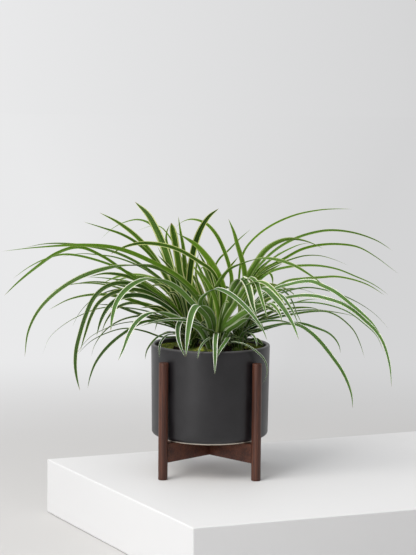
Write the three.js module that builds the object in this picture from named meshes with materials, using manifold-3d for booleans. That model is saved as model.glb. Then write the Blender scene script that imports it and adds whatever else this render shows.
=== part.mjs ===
// Potted spider plant on a four-legged wooden stand. Millimetres, +Z up.
// The origin is on the floor, on the pot's axis. -Y is the side that faces the viewer, +X is to the right.
import * as THREE from "three";
import { mergeVertices } from "three/addons/utils/BufferGeometryUtils.js";
import Module from "manifold-3d";

// ---------------------------------------------------------------- driving dimensions
const CLEARANCE = 0.3;

const POT_RIM_RADIUS = 101.5;
const POT_RIM_HEIGHT = 221;
const POT_WALL_FOOT_RADIUS = 99.5;
const POT_WALL_FOOT_HEIGHT = 71;
const POT_FOOT_RADIUS = 88.4;
const POT_FOOT_BAND = 2.2;
const POT_WALL = 6.5;
const POT_FLOOR = 7;
const POT_FOOT_EASE = 1.5;
const POT_INSIDE_CORNER = 8;
const POT_LIP_STEPS = 4;
const POT_SEGMENTS = 48;

const SOIL_TOP = 208;
const SOIL_CORNER = 9;
const SOIL_CORNER_GAP = 0.7;
const SOIL_SEGMENTS = 32;

const MOSS_INNER_RADIUS = 66;
const MOSS_RIM_GAP = 1.2;
const MOSS_HEIGHT = 5;
const MOSS_MOUND_HEIGHT = 10;
const MOSS_MOUND_AZIMUTH = -1.75;
const MOSS_MOUND_SPREAD = 0.38;
const MOSS_WAVE_HEIGHT = 1.5;
const MOSS_WAVE_REACH = 2;
const MOSS_SCALLOP = 3;
const MOSS_SEGMENTS = 44;

const LEG_RADIUS = 8;
const LEG_HEIGHT = 198.5;
const LEG_EASE = 1;
const LEG_PITCH_RADIUS = 110.5;
const LEG_SEGMENTS = 16;

const BAR_TOP = 61.2;
const BAR_HEIGHT = 32.2;
const BAR_THICKNESS = 13;
const TENON_HEIGHT = 22;
const TENON_THICKNESS = 6;
const TENON_PAST_LEG_FACE = 7;
const SHOULDER_PAST_LEG_FACE = 3;
const CUT_OVERSHOOT = 10;

const CROWN_RADIUS = 15;
const CROWN_TOP_RADIUS = 12;
const CROWN_BOTTOM = 190;
const CROWN_TOP = 244;
const CROWN_SEGMENTS = 12;
const LEAF_ROOT_HEIGHT = 204;
const LEAF_ROOT_OFFSET = 2;

const LEAF_THICKNESS = 1.2;
const LEAF_TIP_THICKNESS = 0.5;
const LEAF_THICKNESS_RISE = 0.12;
const LEAF_KEEL = 0.16;
const LEAF_CORNERS = 3;
const LEAF_FEWEST_SEGMENTS = 4;
const LEAF_MOST_SEGMENTS = 9;
const LEAF_SEGMENT_TURN = 24;
const LEAF_SEGMENT_LENGTH = 130;
const TURN_SAMPLES = 24;
const LEAF_WIDEST_AT = 0.3;
const LEAF_BASE_SHARE = 0.55;
const FACE_TURN_BEFORE = 0.22;
const FACE_TURN_AFTER = 0.14;
const CREST_SAMPLES = 60;

const INNER_WIDTH = [11, 15];
const INNER_TAPER = 2.4;
const INNER_BASE_FACE = 50;
const INNER_FACE = 60;
const INNER_REACH = [35, 90];
const INNER_CREST = [280, 330];
const INNER_TIP_DROP = [-16, 10];

// ---------------------------------------------------------------- the leaves
// The eye that looks at the plant. Each leaf is listed as it is seen from there on the upright plane
// through the pot's axis, and is then carried along the line of sight to its own depth.
const EYE = new THREE.Vector3(-5.5, -3100, 663);

// A leaf is [width, taper, baseFace, face, point, point, ..., tip]. A high taper keeps the width far out.
// Face is the angle in degrees by which the blade's upper side is turned to the viewer beyond the leaf's
// highest place, and baseFace is the same before it.
// A point is [x, z] or [x, z, depth], where depth is +Y, away from the viewer.
// A point without a depth takes one between its neighbours, by its share of the way.
// The inner leaves, which fill the middle of a rosette, are placed by rule within a sector of directions.
const ROSETTES = {
  rosette_front: {
    crown: [10, -42],
    inner: { sector: [-165, -15], count: 3, seed: 1 },
    leaves: [
      [11, 3.2, 66, 18, [-15, 290], [-50, 330], [-100, 359], [-160, 382], [-220, 387], [-300, 382],
        [-358, 375, -152]],
      [15, 3.8, -80, 36, [-8, 275], [-28, 305], [-60, 336], [-100, 351], [-140, 353.5], [-180, 347],
        [-225, 331], [-265, 305], [-295, 273], [-312, 237], [-318, 193, -118]],
      [11, 9, -60, 50, [-5, 262], [-30, 288], [-58, 315], [-85, 328], [-112, 330], [-140, 316], [-160, 292],
        [-168, 266], [-171, 240, -178]],
      [12, 4, -80, 44, [-20, 246], [-55, 262], [-88, 273], [-110, 269], [-127, 256], [-140, 234],
        [-149, 210], [-158, 189, -134]],
      [7, 3.8, 50, 30, [-12, 247], [-40, 259], [-62, 261], [-85, 259], [-105, 254], [-121, 249, -150]],
      [14, 4, -35, 30, [2, 266, -52], [-12, 283, -70], [-24, 285, -86], [-32, 274, -100], [-37, 252, -109],
        [-40, 225, -113], [-42, 197, -113]],
      [11, 4, -30, 30, [-26, 258, -60], [-46, 263, -82], [-55, 252, -97], [-56, 234, -105],
        [-52, 217, -109], [-47, 205, -108], [-43, 196, -107]],
      [6, 3.8, -30, 0, [4, 230, -66], [-6, 227, -86], [-14, 219, -100], [-19, 209, -108], [-22, 193, -111]],
      [10, 3.8, -30, 0, [10, 236, -66], [9, 234, -88], [8, 222, -104], [8, 205, -112], [8, 187, -114],
        [8, 167, -114]],
      [9, 3.8, -30, 0, [30, 231, -66], [26, 224, -86], [19, 214, -103], [13, 203, -110], [9, 192, -112]],
      [6, 3.8, 30, 14, [30, 221, -58], [48, 222, -72], [64, 217, -82], [80, 206, -82], [91, 195, -74],
        [97, 180, -66], [96, 165, -64], [89, 150, -66]],
      [16, 5, -45, 48, [22, 262], [29, 284], [35, 306], [42, 325], [52, 333.5], [61, 324], [67, 306],
        [71, 288], [79, 266, -112]],
      [10.5, 4.5, -45, 48, [26, 275], [44, 312], [58, 331], [68, 334], [77, 326], [83, 309], [89, 290],
        [97, 264, -118]],
      [9.5, 4, -30, 42, [-6, 262], [-18, 292], [-6, 307], [8, 314.5], [22, 311.5], [40, 301], [60, 283],
        [78, 262], [90, 243], [97, 226, -128]],
      [9, 3.6, -30, 70, [0, 290], [10, 320], [30, 347], [52, 358], [75, 366], [96, 367.5], [120, 363.5],
        [145, 354], [165, 342], [181, 331], [196, 317, -136]],
      [11, 4, -50, 50, [20, 250], [42, 290], [60, 318], [77, 328], [92, 325], [106, 314], [118, 300],
        [128, 286, -140]],
      [13, 4, -80, 40, [20, 247], [32, 256], [47, 268], [64, 278], [84, 287], [99, 291], [110, 284],
        [118, 272], [122, 258, -126]],
      [9, 3.8, -30, 20, [4, 238, -52], [-8, 244, -66], [-18, 250, -78], [-28, 251, -92]],
      [11, 4, -45, 30, [20, 262], [34, 276], [46, 290], [56, 300, -72]],
      [9, 6, 70, 76, [18, 285], [14, 320], [0, 346], [-20, 360], [-50, 378], [-75, 387], [-100, 391],
        [-124, 391], [-150, 384], [-172, 372, -96]],
      [14, 3.4, -72, 64, [22, 290], [18, 322], [4, 352], [-12, 374], [-26, 389], [-46, 402],
        [-66, 413, -66]],
      [11, 4.3, -50, 40, [29, 241], [44, 252], [58, 262], [70, 264], [80, 256], [86, 244, -106]],
      [10, 4.3, -60, 60, [14, 262], [8, 296], [-4, 322], [-16, 338], [-30, 346, -100]],
    ],
  },
  rosette_left: {
    crown: [-34, 2],
    inner: { sector: [110, 225], count: 8, seed: 2 },
    leaves: [
      [8, 6, 60, 60, [-48, 262], [-72, 292], [-100, 312], [-150, 345], [-185, 368], [-225, 383.5],
        [-262, 373.5], [-300, 347], [-332, 320], [-353, 299, -112]],
      [7, 3.8, 56, 34, [-60, 300], [-100, 341], [-160, 374], [-230, 388], [-280, 389], [-318, 382, 58]],
      [6.5, 4.3, 50, 36, [-70, 290], [-130, 335], [-200, 363], [-250, 371], [-282, 363], [-310, 349],
        [-339, 328, 30]],
      [5, 3.8, 40, 30, [-66, 306], [-110, 345], [-160, 366], [-195, 371], [-225, 372.5], [-258, 366, 84]],
      [5, 3.8, 40, 30, [-70, 276], [-130, 306], [-200, 322], [-250, 317], [-278, 303, 66]],
      [7, 4.3, 50, 38, [-58, 262], [-92, 292], [-140, 315], [-175, 322.5], [-205, 324.5], [-238, 320, 36]],
      [5.5, 3.8, 40, 30, [-62, 276], [-100, 308], [-140, 325], [-180, 331], [-215, 333, 96]],
      [11, 4, 66, 40, [-54, 262], [-78, 292], [-102, 315], [-136, 332], [-165, 338.5], [-186, 338.5],
        [-208, 333, -16]],
      [9, 3.4, 60, 40, [-52, 246], [-92, 277], [-130, 292], [-165, 301], [-202, 302.5], [-242, 294],
        [-278, 275, 2]],
      [7, 3.8, 60, 30, [-60, 262], [-104, 304], [-150, 312], [-178, 307], [-206, 291], [-225, 270],
        [-237, 246, 62]],
      [4.5, 3.4, 40, 26, [-56, 250], [-100, 272], [-150, 281], [-190, 279], [-222, 267], [-250, 251],
        [-276, 227], [-288, 196, 104]],
      [10.5, 9, 76, 44, [-50, 262], [-80, 297], [-126, 320], [-163, 322], [-184, 313], [-201, 295],
        [-213, 268], [-223, 236], [-230, 205], [-231, 178], [-228, 156], [-223, 136, -70]],
      [10, 5, 70, 50, [-56, 262], [-96, 302], [-134, 312], [-166, 306], [-192, 288], [-205, 264],
        [-214, 236], [-223, 205, -36]],
      [11, 5, 70, 56, [-50, 256], [-84, 288], [-122, 302], [-150, 299], [-171, 286], [-184, 267],
        [-191, 248], [-195, 231, -98]],
      [9.5, 4, 60, 40, [-56, 252], [-98, 282], [-135, 289], [-161, 280], [-174, 265], [-182, 250],
        [-187, 234, 26]],
      [8, 4.3, 60, 34, [-52, 240], [-78, 256], [-112, 257], [-145, 239], [-175, 214], [-196, 186],
        [-206, 160], [-210, 140, -92]],
      [4.5, 3.4, 40, 26, [-50, 238], [-84, 253], [-122, 257], [-155, 253], [-180, 244], [-205, 230],
        [-225, 207], [-237, 183, 64]],
      [6, 4, 50, 36, [-54, 244], [-92, 266], [-138, 264], [-168, 251], [-188, 232], [-200, 211],
        [-204, 195, 22]],
      [5, 3.4, 40, 26, [-46, 228], [-85, 231], [-112, 240], [-145, 245], [-174, 238], [-205, 222],
        [-228, 199, -34]],
      [7, 3.8, 30, 14, [-44, 232, -14], [-60, 239, -28], [-76, 237, -40], [-90, 231, -48], [-101, 220, -54],
        [-109, 207, -54], [-112, 191, -54]],
      [7, 3.8, 20, 0, [-42, 232, -18], [-60, 236, -38], [-76, 233, -56], [-85, 222, -66], [-88, 208, -69],
        [-87, 194, -69]],
      [15.5, 7, 70, 70, [-48, 262], [-57, 300], [-68, 345], [-79, 380], [-89, 405], [-98, 423], [-109, 441],
        [-131, 462, 56]],
      [11, 4.5, 80, 76, [-52, 280], [-84, 347], [-106, 379], [-130, 405], [-160, 427], [-191, 443, 18]],
      [8, 3.8, 70, 50, [-56, 290], [-86, 348], [-117, 384], [-150, 405], [-185, 417], [-218, 427, -26]],
      [13.5, 6, 74, 74, [-36, 270], [-38, 320], [-34, 362], [-28, 392], [-17, 420], [-4, 439],
        [12, 452, 28]],
      [9, 3.8, 66, 40, [-46, 262], [-66, 300], [-96, 326], [-128, 334], [-158, 328], [-184, 312, 130]],
      [10.5, 4, 80, 60, [-42, 270], [-52, 310], [-68, 346], [-92, 372, -50]],
      [7.5, 3.8, 50, 34, [-60, 252], [-96, 262], [-128, 272], [-164, 284], [-196, 286, 60]],
    ],
  },
  rosette_right: {
    crown: [46, -4],
    inner: { sector: [-55, 70], count: 8, seed: 3 },
    leaves: [
      [5.5, 3.4, 52, 62, [48, 290], [48, 340], [55, 378], [72, 401], [100, 423], [140, 441.5], [180, 450.5],
        [208, 453], [238, 453, 66]],
      [13, 2.8, -80, -45, [54, 296], [62, 334], [76, 360], [92, 382], [111, 395], [131, 401], [150, 400],
        [171, 394], [190, 385, -36]],
      [7, 4.5, 45, 58, [58, 290], [66, 332], [84, 358], [110, 383], [140, 401], [170, 411.5], [200, 416.5],
        [240, 413], [280, 400], [308, 383, 58]],
      [6.5, 3.8, 55, 50, [62, 285], [70, 326], [92, 349], [125, 368], [152, 383], [182, 391], [216, 393],
        [250, 388], [281, 371], [303, 355], [321, 342, 152]],
      [5, 4.3, 45, 34, [60, 300], [76, 342], [108, 370], [132, 384], [151, 392], [168, 395, 26]],
      [5, 3.4, 40, 30, [62, 290], [80, 336], [108, 356], [135, 366], [158, 372.5], [184, 373], [208, 367],
        [233, 357, 92]],
      [7, 3.8, 55, 34, [56, 276], [76, 322], [100, 344], [130, 353], [160, 356], [185, 355.5], [215, 350],
        [245, 338.5], [276, 325], [303, 307, 20]],
      [7, 4.3, 50, 36, [58, 262], [84, 302], [112, 320], [132, 330], [158, 333.5], [188, 336], [212, 337.5],
        [240, 333], [268, 323.5], [297, 306, -34]],
      [11, 6, 34, 58, [56, 262], [82, 296], [112, 317], [132, 323], [152, 328], [171, 329], [192, 321],
        [212, 311], [237, 292], [260, 273], [276, 258], [289, 241, -82]],
      [10, 4.5, 40, 58, [58, 254], [84, 278], [110, 293], [132, 301], [154, 304.5], [177, 304], [200, 299],
        [222, 292], [244, 279], [264, 262], [282, 245], [294, 227], [302, 206], [308, 180],
        [311, 148, -92]],
      [5, 3.8, 40, 30, [62, 268], [110, 304], [160, 318], [200, 313], [230, 303], [258, 289], [282, 272],
        [306, 247, 42]],
      [5, 3.8, 40, 30, [62, 262], [100, 282], [142, 292], [162, 297], [184, 299, 64]],
      [4.5, 3.4, 40, 26, [62, 270], [100, 304], [134, 316], [156, 315], [172, 310], [186, 303, 88]],
      [7, 4, 40, 34, [56, 250], [96, 273], [136, 282], [156, 284], [175, 283], [191, 278, 46]],
      [7, 4.3, 40, 36, [58, 246], [88, 260], [120, 268], [150, 274], [176, 277.5], [198, 277], [216, 270],
        [232, 258], [245, 244], [255, 224], [264, 198, 6]],
      [5, 3.8, 40, 30, [60, 250], [96, 266], [140, 277], [180, 280], [215, 276], [236, 272],
        [252, 267, 62]],
      [5.5, 4.3, 40, 30, [66, 262], [120, 288], [180, 292], [230, 279], [262, 257], [284, 236],
        [296, 209, -30]],
      [8, 4, 60, 36, [54, 290], [68, 330], [85, 346], [100, 356], [113, 362, 118]],
      [8, 4, 60, 40, [58, 282], [80, 332], [101, 348], [121, 359, 132]],
      [4.5, 3.8, 40, 30, [56, 300], [70, 332], [86, 350], [102, 366], [117, 379, 70]],
      [7, 8, -50, 50, [54, 290], [72, 326], [90, 341], [99, 343], [104, 335], [105, 321, -60]],
      [10.5, 4.5, -48, -48, [50, 270], [58, 318], [56, 348], [50, 371], [44, 390], [38, 411],
        [28, 435, -22]],
      [12, 4, -45, 46, [50, 250], [62, 290], [78, 314], [92, 315], [108, 301], [124, 282], [136, 263],
        [144, 247], [151, 228, -124]],
      [8, 4, -50, 44, [52, 246], [80, 290], [104, 308], [120, 304], [133, 288], [143, 271],
        [150, 254, -96]],
      [6, 4, 45, 34, [56, 262], [90, 300], [116, 315], [130, 307], [139, 293], [146, 275], [157, 253, -30]],
      [10, 5, 24, 46, [62, 238], [84, 246], [106, 252], [128, 255.5], [150, 253.5], [171, 241],
        [190, 222.5], [210, 197], [225, 176], [236, 154], [243, 132], [245, 110, -66]],
      [8, 6, 28, 42, [60, 234], [82, 242], [106, 250], [130, 256], [156, 256], [180, 249], [201, 240.5],
        [213, 230], [220, 218], [222.5, 206, -18]],
      [7, 4.3, 45, 36, [54, 238], [72, 252], [92, 259], [110, 261], [128, 259], [143, 254, -62]],
      [6, 4, 45, 34, [58, 244], [78, 258], [96, 270], [114, 279.5, 66]],
      [6, 4, 45, 34, [60, 240], [82, 256], [100, 267], [117, 275, 40]],
      [9, 4.3, 70, 44, [50, 244], [62, 268], [80, 292], [100, 304], [118, 300, 52]],
      [7, 3.8, -30, 0, [54, 236, -24], [62, 240, -42], [72, 236, -58], [78, 226, -68], [79, 214, -72]],
      [10, 4, -60, 50, [50, 262], [56, 290], [70, 310], [88, 318], [102, 314, -64]],
    ],
  },
  rosette_back: {
    crown: [4, 42],
    inner: { sector: [20, 160], count: 7, seed: 4 },
    leaves: [
      [8, 4.5, 56, 30, [24, 280], [35, 326], [32, 348], [22, 379], [8, 407], [-10, 426], [-34, 433],
        [-51, 428], [-64, 416, 92]],
      [6, 4.3, 60, 34, [-28, 290], [-66, 354], [-88, 400], [-104, 424], [-125, 431.5], [-150, 426],
        [-170, 415], [-188, 398, 124]],
      [14.5, 24, 64, 60, [-30, 290], [-50, 330], [-58, 372], [-63, 400], [-69, 427, 80]],
      [7, 6, 60, 60, [-38, 290], [-60, 330], [-70, 372], [-77, 398], [-76, 412], [-71, 424, 92]],
      [7, 3.8, 50, 50, [10, 290], [4, 325], [-8, 352], [-17, 368], [-26, 385, 66]],
      [8, 4, 60, 60, [-16, 280], [-30, 320], [-41, 350], [-47, 386, 84]],
      [7, 4, 50, 50, [2, 280], [-7, 318], [-18, 345], [-35, 376, 76]],
      [7, 4, 50, 50, [14, 285], [7, 322], [-2, 348], [-13, 374, 68]],
      [7, 4, 60, 60, [-30, 285], [-60, 328], [-78, 360], [-92, 386, 112]],
      [9, 4, 40, 40, [12, 290], [9, 320], [1, 345], [-8, 365, 60]],
      [8, 3.8, 60, 60, [-2, 270], [-12, 295], [-22, 322], [-28, 348, 62]],
      [11, 4, 60, 60, [4, 270], [-2, 300], [-14, 330], [-34, 357, 72]],
      [9, 4.3, 50, 50, [-22, 280], [-42, 330], [-48, 385], [-53, 412], [-57, 438, 92]],
      [4, 3.4, 50, 30, [-26, 300], [-58, 380], [-86, 419], [-102, 421], [-128, 412, 152]],
      [4.5, 3.4, 50, 40, [2, 300], [4, 345], [12, 364], [29, 381], [47, 400], [66, 417, 172]],
      [8, 4, 60, 60, [10, 300], [18, 330], [30, 350], [46, 370, 132]],
      [9, 3.8, 60, 60, [-10, 275], [-22, 312], [-26, 344], [-22, 376, 96]],
      [11, 4, 60, 48, [-14, 270], [-44, 300], [-82, 324], [-122, 336], [-158, 334], [-186, 322, 142]],
      [11, 4, 60, 44, [18, 270], [44, 300], [74, 318], [104, 322], [130, 314], [152, 298, 144]],
      [12, 4, 30, 14, [6, 270, 62], [10, 300, 96], [12, 308, 130], [13, 296, 160], [14, 262, 179]],
      [12, 4, 30, 14, [-12, 268, 62], [-26, 292, 92], [-38, 298, 126], [-46, 284, 152], [-50, 252, 168]],
      [12, 4, 30, 14, [20, 262, 62], [40, 288, 90], [56, 296, 122], [66, 284, 148], [72, 256, 162]],
      [10, 4, 30, 14, [0, 262, 66], [-4, 282, 96], [-6, 284, 124], [-8, 268, 142], [-8, 240, 150]],
      [10, 4, 30, 14, [-14, 252, 60], [-44, 270, 84], [-70, 274, 106], [-88, 262, 124], [-96, 240, 134]],
      [10, 4, 30, 14, [20, 250, 60], [46, 268, 84], [68, 272, 104], [84, 262, 120], [90, 242, 128]],
      [8, 4, 30, 14, [-8, 246, 66], [-22, 256, 90], [-30, 254, 112], [-34, 236, 124], [-34, 214, 128]],
      [8, 4, 30, 14, [14, 246, 66], [28, 256, 90], [36, 252, 112], [40, 234, 124], [41, 212, 128]],
      [9, 3.8, 40, 14, [4, 300, 58], [-6, 336, 74], [-14, 352, 96], [-18, 346, 122]],
    ],
  },
};

// ---------------------------------------------------------------- solids
const wasm = await Module();
wasm.setup();

function solidOf(geometry) {
  const bare = geometry.clone();
  bare.deleteAttribute("normal");
  bare.deleteAttribute("uv");
  const merged = mergeVertices(bare, 1e-4);
  return new wasm.Manifold(
    new wasm.Mesh({
      numProp: 3,
      vertProperties: new Float32Array(merged.attributes.position.array),
      triVerts: new Uint32Array(merged.index.array),
    }),
  );
}

function geometryOf(solid) {
  const mesh = solid.getMesh();
  const geometry = new THREE.BufferGeometry();
  geometry.setAttribute("position", new THREE.BufferAttribute(new Float32Array(mesh.vertProperties), 3));
  geometry.setIndex(new THREE.BufferAttribute(new Uint32Array(mesh.triVerts), 1));
  geometry.computeVertexNormals();
  return geometry;
}

// The outer skin of the biggest body, without the small hollows that the fused blades close in.
function largestBody(solid) {
  const bodies = solid.decompose();
  bodies.sort((one, other) => other.volume() - one.volume());
  return bodies[0];
}

function boxAt(x, y, z, width, depth, height) {
  return new THREE.BoxGeometry(width, depth, height).translate(x, y, z);
}

// A body of revolution about Z from a profile of [radius, height] points.
function turned(profile, segments) {
  const points = profile.map(([radius, height]) => new THREE.Vector2(radius, height));
  return new THREE.LatheGeometry(points, segments).rotateX(Math.PI / 2);
}

function arcPoints(centreRadius, centreHeight, radius, from, to, steps) {
  const points = [];
  for (let i = 0; i <= steps; i += 1) {
    const angle = from + ((to - from) * i) / steps;
    points.push([centreRadius + radius * Math.cos(angle), centreHeight + radius * Math.sin(angle)]);
  }
  return points;
}

// ---------------------------------------------------------------- pot
const POT_BOTTOM = BAR_TOP;
const POT_INSIDE_FLOOR = POT_BOTTOM + POT_FLOOR;
const SOIL_RADIUS_TOP = innerRadius(SOIL_TOP) - CLEARANCE;

function outerRadius(height) {
  const share = (height - POT_WALL_FOOT_HEIGHT) / (POT_RIM_HEIGHT - POT_WALL_FOOT_HEIGHT);
  return POT_WALL_FOOT_RADIUS + share * (POT_RIM_RADIUS - POT_WALL_FOOT_RADIUS);
}

function innerRadius(height) {
  return outerRadius(height) - POT_WALL;
}

function potGeometry() {
  const lip = POT_WALL / 2;
  const bandTop = POT_BOTTOM + POT_FOOT_BAND;
  const edgeRise = POT_WALL_FOOT_HEIGHT - bandTop;
  const edgeRun = POT_WALL_FOOT_RADIUS - POT_FOOT_RADIUS;
  const cornerTop = POT_INSIDE_FLOOR + POT_INSIDE_CORNER;
  const roundedEdge = [];
  for (const angle of [-Math.PI / 2, -1.05, -0.5, 0]) {
    roundedEdge.push([
      POT_FOOT_RADIUS + edgeRun * Math.cos(angle),
      POT_WALL_FOOT_HEIGHT + edgeRise * Math.sin(angle),
    ]);
  }
  const profile = [
    [0, POT_BOTTOM],
    [POT_FOOT_RADIUS - POT_FOOT_EASE, POT_BOTTOM],
    ...roundedEdge,
    ...arcPoints(POT_RIM_RADIUS - lip, POT_RIM_HEIGHT - lip, lip, 0, Math.PI, POT_LIP_STEPS),
    [innerRadius(cornerTop), cornerTop],
    [innerRadius(POT_INSIDE_FLOOR) - POT_INSIDE_CORNER, POT_INSIDE_FLOOR],
    [0, POT_INSIDE_FLOOR],
  ];
  return turned(profile, POT_SEGMENTS);
}

// ---------------------------------------------------------------- soil and moss
// The soil fills the pot and has a plain hole for each crown.
function soilGeometry() {
  const cornerTop = POT_INSIDE_FLOOR + SOIL_CORNER;
  const profile = [
    [0, POT_INSIDE_FLOOR + CLEARANCE],
    [innerRadius(POT_INSIDE_FLOOR) - SOIL_CORNER, POT_INSIDE_FLOOR + CLEARANCE],
    [innerRadius(cornerTop) - SOIL_CORNER_GAP, cornerTop],
    [SOIL_RADIUS_TOP - CLEARANCE, SOIL_TOP],
    [0, SOIL_TOP],
  ];
  let soil = solidOf(turned(profile, SOIL_SEGMENTS));
  for (const { crown } of Object.values(ROSETTES)) {
    const holeRadius = CROWN_RADIUS + CLEARANCE;
    const depth = SOIL_TOP - CROWN_BOTTOM + CLEARANCE;
    const hole = new THREE.CylinderGeometry(holeRadius, holeRadius, depth + CUT_OVERSHOOT, CROWN_SEGMENTS);
    hole.rotateX(Math.PI / 2).translate(crown[0], crown[1], SOIL_TOP + (CUT_OVERSHOOT - depth) / 2);
    soil = soil.subtract(solidOf(hole));
  }
  return geometryOf(soil);
}

// Low cushions of moss round the edge of the soil, with a higher mound at the front.
function mossGeometry() {
  const outer = SOIL_RADIUS_TOP - MOSS_RIM_GAP;
  const ring = (angle) => {
    const away = Math.atan2(Math.sin(angle - MOSS_MOUND_AZIMUTH), Math.cos(angle - MOSS_MOUND_AZIMUTH));
    const mound = MOSS_MOUND_HEIGHT * Math.exp(-((away / MOSS_MOUND_SPREAD) ** 2));
    const broadWave = 0.5 * Math.sin(7 * angle + 1);
    const fineWave = 0.35 * Math.sin(17 * angle) + 0.3 * Math.sin(29 * angle + 2);
    const waves = broadWave + fineWave;
    const height = MOSS_HEIGHT + MOSS_WAVE_HEIGHT * waves + mound * (1 + 0.15 * waves);
    const inner = MOSS_INNER_RADIUS + MOSS_SCALLOP * Math.sin(11 * angle + 0.5) + MOSS_WAVE_REACH * waves;
    return [
      [inner, 0],
      [outer, 0],
      [outer, 0.45 * height],
      [outer - 5, 0.9 * height],
      [outer - 13, height],
      [inner + 3, 0.7 * height],
    ];
  };
  const positions = [];
  const index = [];
  const sides = 6;
  for (let i = 0; i < MOSS_SEGMENTS; i += 1) {
    const angle = (i / MOSS_SEGMENTS) * Math.PI * 2;
    for (const [radius, height] of ring(angle)) {
      positions.push(radius * Math.cos(angle), radius * Math.sin(angle), SOIL_TOP + height);
    }
  }
  for (let i = 0; i < MOSS_SEGMENTS; i += 1) {
    const next = ((i + 1) % MOSS_SEGMENTS) * sides;
    for (let j = 0; j < sides; j += 1) {
      const k = (j + 1) % sides;
      index.push(i * sides + j, next + j, next + k);
      index.push(i * sides + j, next + k, i * sides + k);
    }
  }
  const geometry = new THREE.BufferGeometry();
  geometry.setAttribute("position", new THREE.Float32BufferAttribute(positions, 3));
  geometry.setIndex(index);
  return facingOut(geometry);
}

function facingOut(geometry) {
  const position = geometry.attributes.position;
  const index = geometry.index.array;
  const a = new THREE.Vector3();
  const b = new THREE.Vector3();
  const c = new THREE.Vector3();
  let volume = 0;
  for (let i = 0; i < index.length; i += 3) {
    a.fromBufferAttribute(position, index[i]);
    b.fromBufferAttribute(position, index[i + 1]);
    c.fromBufferAttribute(position, index[i + 2]);
    volume += a.dot(b.cross(c));
  }
  if (volume < 0) {
    for (let i = 0; i < index.length; i += 3) {
      [index[i + 1], index[i + 2]] = [index[i + 2], index[i + 1]];
    }
  }
  geometry.computeVertexNormals();
  return geometry;
}

// ---------------------------------------------------------------- leaves
// Carries a point seen on the plane y = 0 along the line of sight to a depth.
function atDepth(x, z, depth) {
  const seen = new THREE.Vector3(x, 0, z).sub(EYE);
  return EYE.clone().addScaledVector(seen, 1 + depth / -EYE.y);
}

// The control points of a leaf in space: its root in the crown, then the listed points at their depths.
function controlPoints(crown, listed) {
  const root = new THREE.Vector3(crown[0], crown[1], LEAF_ROOT_HEIGHT);
  const rootScale = 1 - crown[1] / -EYE.y;
  const seenRoot = [EYE.x + (root.x - EYE.x) * rootScale, EYE.z + (root.z - EYE.z) * rootScale, crown[1]];
  const rows = [seenRoot, ...listed];
  const way = [0];
  for (let i = 1; i < rows.length; i += 1) {
    const across = Math.abs(rows[i][0] - rows[i - 1][0]);
    const length = Math.hypot(across, rows[i][1] - rows[i - 1][1]);
    way.push(way[i - 1] + across + 0.3 * length);
  }
  const depths = rows.map((row) => row[2]);
  for (let i = 1; i < rows.length; i += 1) {
    if (depths[i] === undefined) {
      let next = i;
      while (rows[next][2] === undefined) next += 1;
      const share = (way[i] - way[i - 1]) / (way[next] - way[i - 1]);
      depths[i] = depths[i - 1] + share * (rows[next][2] - depths[i - 1]);
    }
  }
  const points = rows.map((row, i) => atDepth(row[0], row[1], depths[i]));
  const heading = points.at(-1).clone().sub(root).setZ(0).normalize();
  points[0].copy(root).addScaledVector(heading, LEAF_ROOT_OFFSET);
  return { points, heading };
}

// A repeatable number from 0 to 1 for each seed and count.
function draw(seed, count) {
  const value = Math.sin(seed * 127.1 + count * 311.7) * 43758.5453;
  return value - Math.floor(value);
}

function between([low, high], share) {
  return low + (high - low) * share;
}

// The inner leaves of a rosette: [width, face, curve points, heading], spread evenly over its sector.
function innerLeaves({ crown, inner }) {
  const leaves = [];
  for (let i = 0; i < inner.count; i += 1) {
    const pick = (k) => draw(inner.seed, 7 * i + k);
    const azimuth = THREE.MathUtils.degToRad(between(inner.sector, (i + pick(0)) / inner.count));
    const heading = new THREE.Vector3(Math.cos(azimuth), Math.sin(azimuth), 0);
    const reach = between(INNER_REACH, pick(1));
    const crest = between(INNER_CREST, pick(2));
    const drop = between(INNER_TIP_DROP, pick(3));
    const rise = crest - LEAF_ROOT_HEIGHT;
    const outward = [
      [LEAF_ROOT_OFFSET, LEAF_ROOT_HEIGHT],
      [0.26 * reach, LEAF_ROOT_HEIGHT + 0.62 * rise],
      [0.62 * reach, crest],
      [reach, crest - drop],
    ];
    const points = outward.map(([out, z]) => {
      const axis = new THREE.Vector3(crown[0], crown[1], z);
      return axis.addScaledVector(heading, out);
    });
    const width = between(INNER_WIDTH, pick(4));
    leaves.push({ width, taper: INNER_TAPER, baseFace: INNER_BASE_FACE, face: INNER_FACE, points, heading });
  }
  return leaves;
}

function leafWidth(share, { width, taper }) {
  const swell = Math.sin((Math.PI / 2) * Math.min(1, share / LEAF_WIDEST_AT));
  const past = Math.max(0, (share - LEAF_WIDEST_AT) / (1 - LEAF_WIDEST_AT));
  return width * (LEAF_BASE_SHARE + (1 - LEAF_BASE_SHARE) * swell) * (1 - past ** taper);
}

function segmentCount(curve) {
  let turning = 0;
  for (let i = 1; i <= TURN_SAMPLES; i += 1) {
    turning += curve.getTangentAt((i - 1) / TURN_SAMPLES).angleTo(curve.getTangentAt(i / TURN_SAMPLES));
  }
  const degrees = THREE.MathUtils.radToDeg(turning);
  const wanted = 1 + degrees / LEAF_SEGMENT_TURN + curve.getLength() / LEAF_SEGMENT_LENGTH;
  return Math.round(THREE.MathUtils.clamp(wanted, LEAF_FEWEST_SEGMENTS, LEAF_MOST_SEGMENTS));
}

// The share of a leaf's length at which it is highest.
function crestShare(curve) {
  let crest = 0;
  let highest = -Infinity;
  for (let i = 0; i <= CREST_SAMPLES; i += 1) {
    const height = curve.getPointAt(i / CREST_SAMPLES).z;
    if (height > highest) {
      highest = height;
      crest = i / CREST_SAMPLES;
    }
  }
  return crest;
}

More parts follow.
